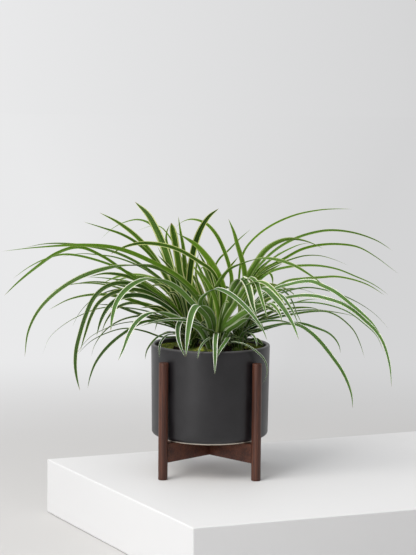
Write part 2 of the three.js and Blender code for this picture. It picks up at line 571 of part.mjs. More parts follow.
// The cross direction and the upper side of the blade at one place along it.
function bladeFrame(curve, share, { heading, face, baseFace, crest }) {
  const along = curve.getTangentAt(share);
  const level = new THREE.Vector3(heading.y, -heading.x, 0);
  const towards = level.y > 0 ? -1 : 1;
  const across = level.clone().addScaledVector(along, -level.dot(along)).normalize();
  const upper = across.clone().cross(along).normalize();
  const settled = THREE.MathUtils.smoothstep(share, crest - FACE_TURN_BEFORE, crest + FACE_TURN_AFTER);
  const turn = THREE.MathUtils.degToRad(between([baseFace, face], settled)) * towards;
  const turnedAcross = across.clone().multiplyScalar(Math.cos(turn)).addScaledVector(upper, -Math.sin(turn));
  const turnedUpper = upper.clone().multiplyScalar(Math.cos(turn)).addScaledVector(across, Math.sin(turn));
  return { across: turnedAcross, upper: turnedUpper };
}

// One blade: a flat upper side over a keel, with sharp edges and a pointed tip.
function leafGeometry(leaf) {
  const curve = new THREE.CatmullRomCurve3(leaf.points, false, "centripetal");
  curve.arcLengthDivisions = 400;
  const segments = segmentCount(curve);
  const crest = crestShare(curve);
  const positions = [];
  const index = [];
  for (let i = 0; i < segments; i += 1) {
    const share = i / segments;
    const centre = curve.getPointAt(share);
    const { across, upper } = bladeFrame(curve, share, { ...leaf, crest });
    const here = leafWidth(share, leaf);
    const thick = Math.min(LEAF_THICKNESS, LEAF_TIP_THICKNESS + LEAF_THICKNESS_RISE * here);
    const middle = centre.clone().addScaledVector(upper, here * LEAF_KEEL);
    positions.push(...middle.clone().addScaledVector(across, -here / 2));
    positions.push(...middle.addScaledVector(across, here / 2));
    positions.push(...centre.addScaledVector(upper, -thick / 2));
  }
  const tip = curve.getPointAt(1);
  const tipAt = positions.length / 3;
  positions.push(...tip);
  for (let i = 0; i < segments; i += 1) {
    for (let j = 0; j < LEAF_CORNERS; j += 1) {
      const a = i * LEAF_CORNERS + j;
      const b = i * LEAF_CORNERS + ((j + 1) % LEAF_CORNERS);
      if (i + 1 === segments) {
        index.push(a, b, tipAt);
      } else {
        index.push(a, b, b + LEAF_CORNERS);
        index.push(a, b + LEAF_CORNERS, a + LEAF_CORNERS);
      }
    }
  }
  index.push(0, 2, 1);
  const geometry = new THREE.BufferGeometry();
  geometry.setAttribute("position", new THREE.Float32BufferAttribute(positions, 3));
  geometry.setIndex(index);
  return facingOut(geometry);
}

function listedLeaves({ crown, leaves }) {
  return leaves.map(([width, taper, baseFace, face, ...listed]) => {
    return { width, taper, baseFace, face, ...controlPoints(crown, listed) };
  });
}

function rosetteGeometry(plan) {
  const { crown } = plan;
  const height = CROWN_TOP - CROWN_BOTTOM;
  const core = new THREE.CylinderGeometry(CROWN_TOP_RADIUS, CROWN_RADIUS, height, CROWN_SEGMENTS);
  core.rotateX(Math.PI / 2).translate(crown[0], crown[1], (CROWN_TOP + CROWN_BOTTOM) / 2);
  let rosette = solidOf(core);
  for (const leaf of [...listedLeaves(plan), ...innerLeaves(plan)]) {
    rosette = rosette.add(solidOf(leafGeometry(leaf)));
  }
  return geometryOf(largestBody(rosette));
}

// ---------------------------------------------------------------- stand
function legProfile() {
  return [
    [0, 0],
    [LEG_RADIUS - LEG_EASE, 0],
    [LEG_RADIUS, LEG_EASE],
    [LEG_RADIUS, LEG_HEIGHT - LEG_EASE],
    [LEG_RADIUS - LEG_EASE, LEG_HEIGHT],
    [0, LEG_HEIGHT],
  ];
}

const BAR_MIDDLE = BAR_TOP - BAR_HEIGHT / 2;

// A leg on the +X axis, with a mortise on its inner side for the bar's tenon.
function legGeometry() {
  const leg = turned(legProfile(), LEG_SEGMENTS).translate(LEG_PITCH_RADIUS, 0, 0);
  const mortiseLength = TENON_PAST_LEG_FACE + CLEARANCE + CUT_OVERSHOOT / 2;
  const mortiseEnd = LEG_PITCH_RADIUS - LEG_RADIUS + TENON_PAST_LEG_FACE + CLEARANCE;
  const mortise = boxAt(
    mortiseEnd - mortiseLength / 2,
    0,
    BAR_MIDDLE,
    mortiseLength,
    TENON_THICKNESS + 2 * CLEARANCE,
    TENON_HEIGHT + 2 * CLEARANCE,
  );
  return geometryOf(solidOf(leg).subtract(solidOf(mortise)));
}

// A bar along X whose ends are hollowed to the legs. The notch is on its upper or its lower side.
function barGeometry(notchOnTop) {
  const reach = LEG_PITCH_RADIUS - LEG_RADIUS + TENON_PAST_LEG_FACE;
  const shoulder = LEG_PITCH_RADIUS - LEG_RADIUS + SHOULDER_PAST_LEG_FACE;
  let bar = solidOf(boxAt(0, 0, BAR_MIDDLE, 2 * shoulder, BAR_THICKNESS, BAR_HEIGHT));
  for (const side of [-1, 1]) {
    const radius = LEG_RADIUS + CLEARANCE;
    const hollow = new THREE.CylinderGeometry(radius, radius, BAR_HEIGHT + CUT_OVERSHOOT, LEG_SEGMENTS);
    hollow.rotateX(Math.PI / 2).translate(side * LEG_PITCH_RADIUS, 0, BAR_MIDDLE);
    bar = bar.subtract(solidOf(hollow));
  }
  bar = bar.add(solidOf(boxAt(0, 0, BAR_MIDDLE, 2 * reach, TENON_THICKNESS, TENON_HEIGHT)));
  const notchWidth = BAR_THICKNESS + 2 * CLEARANCE;
  const notchHeight = BAR_HEIGHT + CUT_OVERSHOOT;
  const notchMiddle = BAR_MIDDLE + ((notchOnTop ? 1 : -1) * notchHeight) / 2;
  const notch = boxAt(0, 0, notchMiddle, notchWidth, BAR_THICKNESS + CUT_OVERSHOOT, notchHeight);
  return geometryOf(bar.subtract(solidOf(notch)));
}

// ---------------------------------------------------------------- materials
const leafMaterial = new THREE.MeshStandardMaterial({
  color: 0x5c8a2c,
  roughness: 0.45,
  side: THREE.DoubleSide,
});
const soilMaterial = new THREE.MeshStandardMaterial({ color: 0x2a1f18, roughness: 1 });
const mossMaterial = new THREE.MeshStandardMaterial({ color: 0x8f9a24, roughness: 1 });
const potMaterial = new THREE.MeshStandardMaterial({ color: 0x39383a, roughness: 0.6 });
const woodMaterial = new THREE.MeshStandardMaterial({ color: 0x4f2c20, roughness: 0.45 });

// ---------------------------------------------------------------- assembly
const group = new THREE.Group();

function addMesh(name, geometry, material, turn = 0) {
  const mesh = new THREE.Mesh(geometry, material);
  mesh.name = name;
  mesh.rotation.z = turn;
  group.add(mesh);
}

addMesh("pot", potGeometry(), potMaterial);
addMesh("soil", soilGeometry(), soilMaterial);
addMesh("moss", mossGeometry(), mossMaterial);
for (const [name, rosette] of Object.entries(ROSETTES)) {
  addMesh(name, rosetteGeometry(rosette), leafMaterial);
}

const LEG_TURNS = {
  leg_back_right: Math.PI / 4,
  leg_back_left: (3 * Math.PI) / 4,
  leg_front_left: (-3 * Math.PI) / 4,
  leg_front_right: -Math.PI / 4,
};
for (const [name, turn] of Object.entries(LEG_TURNS)) {
  addMesh(name, legGeometry(), woodMaterial, turn);
}
addMesh("bar_lower_notch", barGeometry(false), woodMaterial, Math.PI / 4);
addMesh("bar_upper_notch", barGeometry(true), woodMaterial, -Math.PI / 4);

export default group;
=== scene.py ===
import functools
import math

import bmesh
import bpy
import numpy as np
from mathutils import Matrix, Vector, noise


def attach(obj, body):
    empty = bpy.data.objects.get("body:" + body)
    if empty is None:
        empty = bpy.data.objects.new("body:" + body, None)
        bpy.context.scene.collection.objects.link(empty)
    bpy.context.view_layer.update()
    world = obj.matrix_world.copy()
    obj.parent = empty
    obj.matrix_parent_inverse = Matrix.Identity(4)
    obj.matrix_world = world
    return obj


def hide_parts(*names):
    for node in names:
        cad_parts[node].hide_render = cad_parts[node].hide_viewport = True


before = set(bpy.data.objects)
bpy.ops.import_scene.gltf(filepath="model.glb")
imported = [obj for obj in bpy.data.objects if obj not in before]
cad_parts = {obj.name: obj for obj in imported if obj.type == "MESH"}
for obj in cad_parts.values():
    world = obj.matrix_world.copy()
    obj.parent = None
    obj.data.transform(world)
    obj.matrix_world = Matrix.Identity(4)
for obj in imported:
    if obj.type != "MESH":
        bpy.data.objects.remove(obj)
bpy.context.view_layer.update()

MM = 0.001

# ---------------------------------------------------------------- camera
EYE = np.array((-5.5, -3100.0, 663.0))
CAMERA_PITCH_DOWN = 6.06
CAMERA_ROLL = 0.56
CAMERA_LENS = 118.7
CAMERA_SENSOR = 36
FRAME_WIDTH, FRAME_HEIGHT = 416, 555

# ---------------------------------------------------------------- sizes shared with the solids
POT_RIM_RADIUS = 101.5
POT_RIM_HEIGHT = 221
POT_WALL_FOOT_RADIUS = 99.5
POT_WALL_FOOT_HEIGHT = 71
POT_FOOT_RADIUS = 88.4
POT_FOOT_BAND = 2.2
POT_WALL = 6.5
POT_FLOOR = 7
POT_INSIDE_CORNER = 8
SOIL_TOP = 208
MOSS_INNER_RADIUS = 66
MOSS_HEIGHT = 5
MOSS_MOUND_HEIGHT = 10
MOSS_MOUND_AZIMUTH = -1.75
MOSS_MOUND_SPREAD = 0.38
LEG_RADIUS = 8
LEG_HEIGHT = 198.5
LEG_PITCH_RADIUS = 110.5
BAR_TOP = 61.2
BAR_HEIGHT = 32.2
BAR_THICKNESS = 13
LEAF_ROOT_HEIGHT = 204
LEAF_WIDEST_AT = 0.3
FACE_TURN_BEFORE, FACE_TURN_AFTER = 0.22, 0.14
INNER_WIDTH = (11, 15)
INNER_TAPER = 2.4
INNER_BASE_FACE, INNER_FACE = 50, 60
INNER_BENDS = (0.26, 0.62, 0.62)
INNER_REACH = (35, 90)
INNER_CREST = (280, 330)
INNER_TIP_DROP = (-16, 10)

# ---------------------------------------------------------------- finer sizes of the scene alone
POT_SEGMENTS = 192
SOIL_RINGS, SOIL_SPOKES = 46, 128
SOIL_WALL_GAP = 0.3
SOIL_SINK = 1.5
SOIL_SKIRT = 24
CRUMB_COUNT = 1500
CRUMB_REACH = 92
CRUMB_SIZES = (0.7, 3.0)
CRUMB_CLEARANCE = 7
MOSS_SPOKES, MOSS_STEPS = 360, 14
MOSS_WALL_GAP = 1.2
MOSS_FOOT = 3
MOSS_BULGE_AT, MOSS_BULGE = (0, 0.15, 0.5, 0.82, 1), (0, 0.72, 1, 0.9, 0.5)
FROND_COUNT = 5200
FROND_LENGTH = (1.4, 3.0)
LEG_SEGMENTS = 56
LEG_EASE = 1.2
BAR_EASE = 0.9
BAR_INTO_LEG = 2
NOTCH_PLAY = 0.3
CROWN_SEGMENTS = 28
CROWN_PROFILE = ((0, 196), (11, 196), (11.5, 204), (10, 212), (7, 220), (0, 226))

# ---------------------------------------------------------------- blades
FINE_ROOT_OFFSET = 6
FINE_BASE_SHARE = 0.72
BLADE_THICKNESS = 0.5
BLADE_EDGE_THICKNESS = 0.16
ACROSS_STEPS = 8
ROW_LENGTH = 6
ROW_LIMITS = (18, 64)
LAST_ROW = 0.998
POINT_LENGTH = 16
CHANNEL_AT, CHANNEL_DEPTH = (0, 0.12, 0.35, 1), (0.4, 0.24, 0.13, 0.08)
KEEL_DEPTH, KEEL_SPREAD = 0.35, 0.16
THIN_BELOW = 6
SWAYS = ((5, 7, 1), (2.5, 17, 2))  # degrees, radians along the leaf, times its phase
SWAY_START = (0, 0.4)
RIPPLE, RIPPLE_WAVES = 0.015, 30
SHARP_RIM = 50
LEAVES_PER_PIECE = 4
SHEATH_COUNT = 34
SHEATH_WIDTH = (9, 14)
SHEATH_TAPER = 2.6
SHEATH_BASE_FACE, SHEATH_FACE = 20, 30
SHEATH_BENDS = (0.3, 0.7, 0.7)
SHEATH_ROOT_OFFSET = 4
SHEATH_REACH = (16, 56)
SHEATH_CREST = (228, 258)
SHEATH_DROP = 10
GOLDEN_ANGLE = 2.39996  # radians

# ---------------------------------------------------------------- tones of a leaf, from where its tip is
# Each pair says where an effect begins and where it is full.
HANGING = (330, 230)  # by height
IN_FRONT = (0, -100)  # by y
NEAR_MIDDLE = (270, 140)  # by the distance to either side
FAR_OUT = (150, 230)  # by the distance to either side
SILVERY = ((120, 220), (20, -40), (300, 240))  # by x, y and height: leaves that hang at the front right
WIDE_LEAF = (5, 12)  # by the leaf's width
FAR_SLIMMING = 0.14
PAINTED_SHADE_START = 0.45
WHITE_START, WHITE_SPREAD = 0.12, 0.08
WHITE_OF_MARKED, WHITE_OF_SILVERY = 0.85, 0.6
TINT_OF_SILVERY, VIVID_OF_SILVERY = 0.25, 0.7
MARGIN_START = (0.72, 0.86)
MARGIN_OF_FADED = 0.1
MARGIN_OF_WIDE, MARGIN_OF_MARKED = 0.17, 0.06
SHEATH_PAINTED_SHADE_TINT = (-1.6, -0.6)
SHEATH_WHITE = (0.1, 0.6)
SHEATH_MARGIN = (0.84, 0.92)
ANY_TURN = (0, 6.28)  # radians

# ---------------------------------------------------------------- stage and light
BLOCK_HEIGHT = 0.095
BLOCK_EASE = 0.002
BLOCK_ABOVE_FLOOR = 0.0005
FLOOR_SIZE = 80
# The block's back and front edge: its left corner and where it leaves the frame, both as (column, row) in
# pixels, and how long the edge is, against the stretch between the two.
BLOCK_BACK = ((47, 459), (416, 431), 8)
BLOCK_FRONT = ((193, 528), (416, 509), 12.8)
# The wall's painted light: its strength at the left and at the right, the spread between, and its colour,
# which the world's light shares.
WALL_LEFT, WALL_RIGHT, WALL_SPREAD = 0.825, 0.665, 0.12
WALL_COLOUR = (0.99, 0.992, 1.0, 1)
WORLD_DARK, WORLD_LIGHT = 0.1, 0.85
WORLD_SPAN = (-0.7, 0.8)
WORLD_BRIGHT_SIDE = (-0.4, 0.5, 0.77)
LAMP_TARGET = Vector((0, 0, 0.2))

# The leaves as seen from the viewer's side: [width, taper, base face, face, point, point, ..., tip].
# A high taper keeps the width far out. The faces, at the crown and beyond, turn the upper side to the viewer.
# A point is [x, z] or [x, z, depth] on the upright plane through the pot's axis, seen from EYE.
FRONT_LEAVES = [
    [11, 3.2, 66, 18, [-15, 290], [-50, 330], [-100, 359], [-160, 382], [-220, 387], [-300, 382],
     [-358, 375, -152]],
    [15, 3.8, -80, 36, [-8, 275], [-28, 305], [-60, 336], [-100, 351], [-140, 353.5], [-180, 347],
     [-225, 331], [-265, 305], [-295, 273], [-312, 237], [-318, 193, -118]],
    [11, 9, -60, 50, [-5, 262], [-30, 288], [-58, 315], [-85, 328], [-112, 330], [-140, 316], [-160, 292],
     [-168, 266], [-171, 240, -178]],
    [12, 4, -80, 44, [-20, 246], [-55, 262], [-88, 273], [-110, 269], [-127, 256], [-140, 234], [-149, 210],
     [-158, 189, -134]],
    [7, 3.8, 50, 30, [-12, 247], [-40, 259], [-62, 261], [-85, 259], [-105, 254], [-121, 249, -150]],
    [14, 4, -35, 30, [2, 266, -52], [-12, 283, -70], [-24, 285, -86], [-32, 274, -100], [-37, 252, -109],
     [-40, 225, -113], [-42, 197, -113]],
    [11, 4, -30, 30, [-26, 258, -60], [-46, 263, -82], [-55, 252, -97], [-56, 234, -105], [-52, 217, -109],
     [-47, 205, -108], [-43, 196, -107]],
    [6, 3.8, -30, 0, [4, 230, -66], [-6, 227, -86], [-14, 219, -100], [-19, 209, -108], [-22, 193, -111]],
    [10, 3.8, -30, 0, [10, 236, -66], [9, 234, -88], [8, 222, -104], [8, 205, -112], [8, 187, -114],
     [8, 167, -114]],
    [9, 3.8, -30, 0, [30, 231, -66], [26, 224, -86], [19, 214, -103], [13, 203, -110], [9, 192, -112]],
    [6, 3.8, 30, 14, [30, 221, -58], [48, 222, -72], [64, 217, -82], [80, 206, -82], [91, 195, -74],
     [97, 180, -66], [96, 165, -64], [89, 150, -66]],
    [16, 5, -45, 48, [22, 262], [29, 284], [35, 306], [42, 325], [52, 333.5], [61, 324], [67, 306],
     [71, 288], [79, 266, -112]],
    [10.5, 4.5, -45, 48, [26, 275], [44, 312], [58, 331], [68, 334], [77, 326], [83, 309], [89, 290],
     [97, 264, -118]],
    [9.5, 4, -30, 42, [-6, 262], [-18, 292], [-6, 307], [8, 314.5], [22, 311.5], [40, 301], [60, 283],
     [78, 262], [90, 243], [97, 226, -128]],
    [9, 3.6, -30, 70, [0, 290], [10, 320], [30, 347], [52, 358], [75, 366], [96, 367.5], [120, 363.5],
     [145, 354], [165, 342], [181, 331], [196, 317, -136]],
    [11, 4, -50, 50, [20, 250], [42, 290], [60, 318], [77, 328], [92, 325], [106, 314], [118, 300],
     [128, 286, -140]],
    [13, 4, -80, 40, [20, 247], [32, 256], [47, 268], [64, 278], [84, 287], [99, 291], [110, 284],
     [118, 272], [122, 258, -126]],
    [9, 3.8, -30, 20, [4, 238, -52], [-8, 244, -66], [-18, 250, -78], [-28, 251, -92]],
    [11, 4, -45, 30, [20, 262], [34, 276], [46, 290], [56, 300, -72]],
    [9, 6, 70, 76, [18, 285], [14, 320], [0, 346], [-20, 360], [-50, 378], [-75, 387], [-100, 391],
     [-124, 391], [-150, 384], [-172, 372, -96]],
    [14, 3.4, -72, 64, [22, 290], [18, 322], [4, 352], [-12, 374], [-26, 389], [-46, 402], [-66, 413, -66]],
    [11, 4.3, -50, 40, [29, 241], [44, 252], [58, 262], [70, 264], [80, 256], [86, 244, -106]],
    [10, 4.3, -60, 60, [14, 262], [8, 296], [-4, 322], [-16, 338], [-30, 346, -100]],
]
LEFT_LEAVES = [
    [8, 6, 60, 60, [-48, 262], [-72, 292], [-100, 312], [-150, 345], [-185, 368], [-225, 383.5],
     [-262, 373.5], [-300, 347], [-332, 320], [-353, 299, -112]],
    [7, 3.8, 56, 34, [-60, 300], [-100, 341], [-160, 374], [-230, 388], [-280, 389], [-318, 382, 58]],
    [6.5, 4.3, 50, 36, [-70, 290], [-130, 335], [-200, 363], [-250, 371], [-282, 363], [-310, 349],
     [-339, 328, 30]],
    [5, 3.8, 40, 30, [-66, 306], [-110, 345], [-160, 366], [-195, 371], [-225, 372.5], [-258, 366, 84]],
    [5, 3.8, 40, 30, [-70, 276], [-130, 306], [-200, 322], [-250, 317], [-278, 303, 66]],
    [7, 4.3, 50, 38, [-58, 262], [-92, 292], [-140, 315], [-175, 322.5], [-205, 324.5], [-238, 320, 36]],
    [5.5, 3.8, 40, 30, [-62, 276], [-100, 308], [-140, 325], [-180, 331], [-215, 333, 96]],
    [11, 4, 66, 40, [-54, 262], [-78, 292], [-102, 315], [-136, 332], [-165, 338.5], [-186, 338.5],
     [-208, 333, -16]],
    [9, 3.4, 60, 40, [-52, 246], [-92, 277], [-130, 292], [-165, 301], [-202, 302.5], [-242, 294],
     [-278, 275, 2]],
    [7, 3.8, 60, 30, [-60, 262], [-104, 304], [-150, 312], [-178, 307], [-206, 291], [-225, 270],
     [-237, 246, 62]],
    [4.5, 3.4, 40, 26, [-56, 250], [-100, 272], [-150, 281], [-190, 279], [-222, 267], [-250, 251],
     [-276, 227], [-288, 196, 104]],
    [10.5, 9, 76, 44, [-50, 262], [-80, 297], [-126, 320], [-163, 322], [-184, 313], [-201, 295],
     [-213, 268], [-223, 236], [-230, 205], [-231, 178], [-228, 156], [-223, 136, -70]],
    [10, 5, 70, 50, [-56, 262], [-96, 302], [-134, 312], [-166, 306], [-192, 288], [-205, 264], [-214, 236],
     [-223, 205, -36]],
    [11, 5, 70, 56, [-50, 256], [-84, 288], [-122, 302], [-150, 299], [-171, 286], [-184, 267], [-191, 248],
     [-195, 231, -98]],
    [9.5, 4, 60, 40, [-56, 252], [-98, 282], [-135, 289], [-161, 280], [-174, 265], [-182, 250],
     [-187, 234, 26]],
    [8, 4.3, 60, 34, [-52, 240], [-78, 256], [-112, 257], [-145, 239], [-175, 214], [-196, 186], [-206, 160],
     [-210, 140, -92]],
    [4.5, 3.4, 40, 26, [-50, 238], [-84, 253], [-122, 257], [-155, 253], [-180, 244], [-205, 230],
     [-225, 207], [-237, 183, 64]],
    [6, 4, 50, 36, [-54, 244], [-92, 266], [-138, 264], [-168, 251], [-188, 232], [-200, 211],
     [-204, 195, 22]],
    [5, 3.4, 40, 26, [-46, 228], [-85, 231], [-112, 240], [-145, 245], [-174, 238], [-205, 222],
     [-228, 199, -34]],
    [7, 3.8, 30, 14, [-44, 232, -14], [-60, 239, -28], [-76, 237, -40], [-90, 231, -48], [-101, 220, -54],
     [-109, 207, -54], [-112, 191, -54]],
    [7, 3.8, 20, 0, [-42, 232, -18], [-60, 236, -38], [-76, 233, -56], [-85, 222, -66], [-88, 208, -69],
     [-87, 194, -69]],
    [15.5, 7, 70, 70, [-48, 262], [-57, 300], [-68, 345], [-79, 380], [-89, 405], [-98, 423], [-109, 441],
     [-131, 462, 56]],
    [11, 4.5, 80, 76, [-52, 280], [-84, 347], [-106, 379], [-130, 405], [-160, 427], [-191, 443, 18]],
    [8, 3.8, 70, 50, [-56, 290], [-86, 348], [-117, 384], [-150, 405], [-185, 417], [-218, 427, -26]],
    [13.5, 6, 74, 74, [-36, 270], [-38, 320], [-34, 362], [-28, 392], [-17, 420], [-4, 439], [12, 452, 28]],
    [9, 3.8, 66, 40, [-46, 262], [-66, 300], [-96, 326], [-128, 334], [-158, 328], [-184, 312, 130]],
    [10.5, 4, 80, 60, [-42, 270], [-52, 310], [-68, 346], [-92, 372, -50]],
    [7.5, 3.8, 50, 34, [-60, 252], [-96, 262], [-128, 272], [-164, 284], [-196, 286, 60]],
]
RIGHT_LEAVES = [
    [5.5, 3.4, 52, 62, [48, 290], [48, 340], [55, 378], [72, 401], [100, 423], [140, 441.5], [180, 450.5],
     [208, 453], [238, 453, 66]],
    [13, 2.8, -80, -45, [54, 296], [62, 334], [76, 360], [92, 382], [111, 395], [131, 401], [150, 400],
     [171, 394], [190, 385, -36]],
    [7, 4.5, 45, 58, [58, 290], [66, 332], [84, 358], [110, 383], [140, 401], [170, 411.5], [200, 416.5],
     [240, 413], [280, 400], [308, 383, 58]],
    [6.5, 3.8, 55, 50, [62, 285], [70, 326], [92, 349], [125, 368], [152, 383], [182, 391], [216, 393],
     [250, 388], [281, 371], [303, 355], [321, 342, 152]],
    [5, 4.3, 45, 34, [60, 300], [76, 342], [108, 370], [132, 384], [151, 392], [168, 395, 26]],
    [5, 3.4, 40, 30, [62, 290], [80, 336], [108, 356], [135, 366], [158, 372.5], [184, 373], [208, 367],
     [233, 357, 92]],
    [7, 3.8, 55, 34, [56, 276], [76, 322], [100, 344], [130, 353], [160, 356], [185, 355.5], [215, 350],
     [245, 338.5], [276, 325], [303, 307, 20]],
    [7, 4.3, 50, 36, [58, 262], [84, 302], [112, 320], [132, 330], [158, 333.5], [188, 336], [212, 337.5],
     [240, 333], [268, 323.5], [297, 306, -34]],
    [11, 6, 34, 58, [56, 262], [82, 296], [112, 317], [132, 323], [152, 328], [171, 329], [192, 321],
     [212, 311], [237, 292], [260, 273], [276, 258], [289, 241, -82]],
    [10, 4.5, 40, 58, [58, 254], [84, 278], [110, 293], [132, 301], [154, 304.5], [177, 304], [200, 299],
     [222, 292], [244, 279], [264, 262], [282, 245], [294, 227], [302, 206], [308, 180], [311, 148, -92]],
    [5, 3.8, 40, 30, [62, 268], [110, 304], [160, 318], [200, 313], [230, 303], [258, 289], [282, 272],
     [306, 247, 42]],
    [5, 3.8, 40, 30, [62, 262], [100, 282], [142, 292], [162, 297], [184, 299, 64]],
    [4.5, 3.4, 40, 26, [62, 270], [100, 304], [134, 316], [156, 315], [172, 310], [186, 303, 88]],
    [7, 4, 40, 34, [56, 250], [96, 273], [136, 282], [156, 284], [175, 283], [191, 278, 46]],
    [7, 4.3, 40, 36, [58, 246], [88, 260], [120, 268], [150, 274], [176, 277.5], [198, 277], [216, 270],
     [232, 258], [245, 244], [255, 224], [264, 198, 6]],
    [5, 3.8, 40, 30, [60, 250], [96, 266], [140, 277], [180, 280], [215, 276], [236, 272], [252, 267, 62]],
    [5.5, 4.3, 40, 30, [66, 262], [120, 288], [180, 292], [230, 279], [262, 257], [284, 236],
     [296, 209, -30]],
    [8, 4, 60, 36, [54, 290], [68, 330], [85, 346], [100, 356], [113, 362, 118]],
    [8, 4, 60, 40, [58, 282], [80, 332], [101, 348], [121, 359, 132]],
    [4.5, 3.8, 40, 30, [56, 300], [70, 332], [86, 350], [102, 366], [117, 379, 70]],
    [7, 8, -50, 50, [54, 290], [72, 326], [90, 341], [99, 343], [104, 335], [105, 321, -60]],
    [10.5, 4.5, -48, -48, [50, 270], [58, 318], [56, 348], [50, 371], [44, 390], [38, 411], [28, 435, -22]],
    [12, 4, -45, 46, [50, 250], [62, 290], [78, 314], [92, 315], [108, 301], [124, 282], [136, 263],
     [144, 247], [151, 228, -124]],
    [8, 4, -50, 44, [52, 246], [80, 290], [104, 308], [120, 304], [133, 288], [143, 271], [150, 254, -96]],
    [6, 4, 45, 34, [56, 262], [90, 300], [116, 315], [130, 307], [139, 293], [146, 275], [157, 253, -30]],
    [10, 5, 24, 46, [62, 238], [84, 246], [106, 252], [128, 255.5], [150, 253.5], [171, 241], [190, 222.5],
     [210, 197], [225, 176], [236, 154], [243, 132], [245, 110, -66]],
    [8, 6, 28, 42, [60, 234], [82, 242], [106, 250], [130, 256], [156, 256], [180, 249], [201, 240.5],
     [213, 230], [220, 218], [222.5, 206, -18]],
    [7, 4.3, 45, 36, [54, 238], [72, 252], [92, 259], [110, 261], [128, 259], [143, 254, -62]],
    [6, 4, 45, 34, [58, 244], [78, 258], [96, 270], [114, 279.5, 66]],
    [6, 4, 45, 34, [60, 240], [82, 256], [100, 267], [117, 275, 40]],
    [9, 4.3, 70, 44, [50, 244], [62, 268], [80, 292], [100, 304], [118, 300, 52]],
    [7, 3.8, -30, 0, [54, 236, -24], [62, 240, -42], [72, 236, -58], [78, 226, -68], [79, 214, -72]],
    [10, 4, -60, 50, [50, 262], [56, 290], [70, 310], [88, 318], [102, 314, -64]],
]
BACK_LEAVES = [
    [8, 4.5, 56, 30, [24, 280], [35, 326], [32, 348], [22, 379], [8, 407], [-10, 426], [-34, 433],
     [-51, 428], [-64, 416, 92]],
    [6, 4.3, 60, 34, [-28, 290], [-66, 354], [-88, 400], [-104, 424], [-125, 431.5], [-150, 426],
     [-170, 415], [-188, 398, 124]],
    [14.5, 24, 64, 60, [-30, 290], [-50, 330], [-58, 372], [-63, 400], [-69, 427, 80]],
    [7, 6, 60, 60, [-38, 290], [-60, 330], [-70, 372], [-77, 398], [-76, 412], [-71, 424, 92]],
    [7, 3.8, 50, 50, [10, 290], [4, 325], [-8, 352], [-17, 368], [-26, 385, 66]],
    [8, 4, 60, 60, [-16, 280], [-30, 320], [-41, 350], [-47, 386, 84]],
    [7, 4, 50, 50, [2, 280], [-7, 318], [-18, 345], [-35, 376, 76]],
    [7, 4, 50, 50, [14, 285], [7, 322], [-2, 348], [-13, 374, 68]],
    [7, 4, 60, 60, [-30, 285], [-60, 328], [-78, 360], [-92, 386, 112]],
    [9, 4, 40, 40, [12, 290], [9, 320], [1, 345], [-8, 365, 60]],
    [8, 3.8, 60, 60, [-2, 270], [-12, 295], [-22, 322], [-28, 348, 62]],
    [11, 4, 60, 60, [4, 270], [-2, 300], [-14, 330], [-34, 357, 72]],
    [9, 4.3, 50, 50, [-22, 280], [-42, 330], [-48, 385], [-53, 412], [-57, 438, 92]],
    [4, 3.4, 50, 30, [-26, 300], [-58, 380], [-86, 419], [-102, 421], [-128, 412, 152]],
    [4.5, 3.4, 50, 40, [2, 300], [4, 345], [12, 364], [29, 381], [47, 400], [66, 417, 172]],
    [8, 4, 60, 60, [10, 300], [18, 330], [30, 350], [46, 370, 132]],
    [9, 3.8, 60, 60, [-10, 275], [-22, 312], [-26, 344], [-22, 376, 96]],
    [11, 4, 60, 48, [-14, 270], [-44, 300], [-82, 324], [-122, 336], [-158, 334], [-186, 322, 142]],
    [11, 4, 60, 44, [18, 270], [44, 300], [74, 318], [104, 322], [130, 314], [152, 298, 144]],
    [12, 4, 30, 14, [6, 270, 62], [10, 300, 96], [12, 308, 130], [13, 296, 160], [14, 262, 179]],
    [12, 4, 30, 14, [-12, 268, 62], [-26, 292, 92], [-38, 298, 126], [-46, 284, 152], [-50, 252, 168]],
    [12, 4, 30, 14, [20, 262, 62], [40, 288, 90], [56, 296, 122], [66, 284, 148], [72, 256, 162]],
    [10, 4, 30, 14, [0, 262, 66], [-4, 282, 96], [-6, 284, 124], [-8, 268, 142], [-8, 240, 150]],
    [10, 4, 30, 14, [-14, 252, 60], [-44, 270, 84], [-70, 274, 106], [-88, 262, 124], [-96, 240, 134]],
    [10, 4, 30, 14, [20, 250, 60], [46, 268, 84], [68, 272, 104], [84, 262, 120], [90, 242, 128]],
    [8, 4, 30, 14, [-8, 246, 66], [-22, 256, 90], [-30, 254, 112], [-34, 236, 124], [-34, 214, 128]],
    [8, 4, 30, 14, [14, 246, 66], [28, 256, 90], [36, 252, 112], [40, 234, 124], [41, 212, 128]],
    [9, 3.8, 40, 14, [4, 300, 58], [-6, 336, 74], [-14, 352, 96], [-18, 346, 122]],
]

# Where the crown stands, where its inner leaves may point and how many they are, and the tones of the leaves:
# how white the hanging ones' margins are, how much painted shade darkens those leaves (below 0, painted light
# brightens them), how dull the outer margins are.
ROSETTES = {
    "rosette_front": {
        "crown": [10, -42],
        "inner": {"sector": [-165, -15], "count": 3, "seed": 1},
        "tones": {"paleness": 0.25, "shade": 0.1, "dull": 0.6},
        "leaves": FRONT_LEAVES,
    },
    "rosette_left": {
        "crown": [-34, 2],
        "inner": {"sector": [110, 225], "count": 8, "seed": 2},
        "tones": {"paleness": 0, "shade": 1.1, "dull": 0.5},
        "leaves": LEFT_LEAVES,
    },
    "rosette_right": {
        "crown": [46, -4],
        "inner": {"sector": [-55, 70], "count": 8, "seed": 3},
        "tones": {"paleness": 0.5, "shade": -0.25, "dull": 0.25},
        "leaves": RIGHT_LEAVES,
    },
    "rosette_back": {
        "crown": [4, 42],
        "inner": {"sector": [20, 160], "count": 7, "seed": 4},
        "tones": {"paleness": 0, "shade": 0.3, "dull": 0.6},
        "leaves": BACK_LEAVES,
    },
}

random = np.random.default_rng(11)


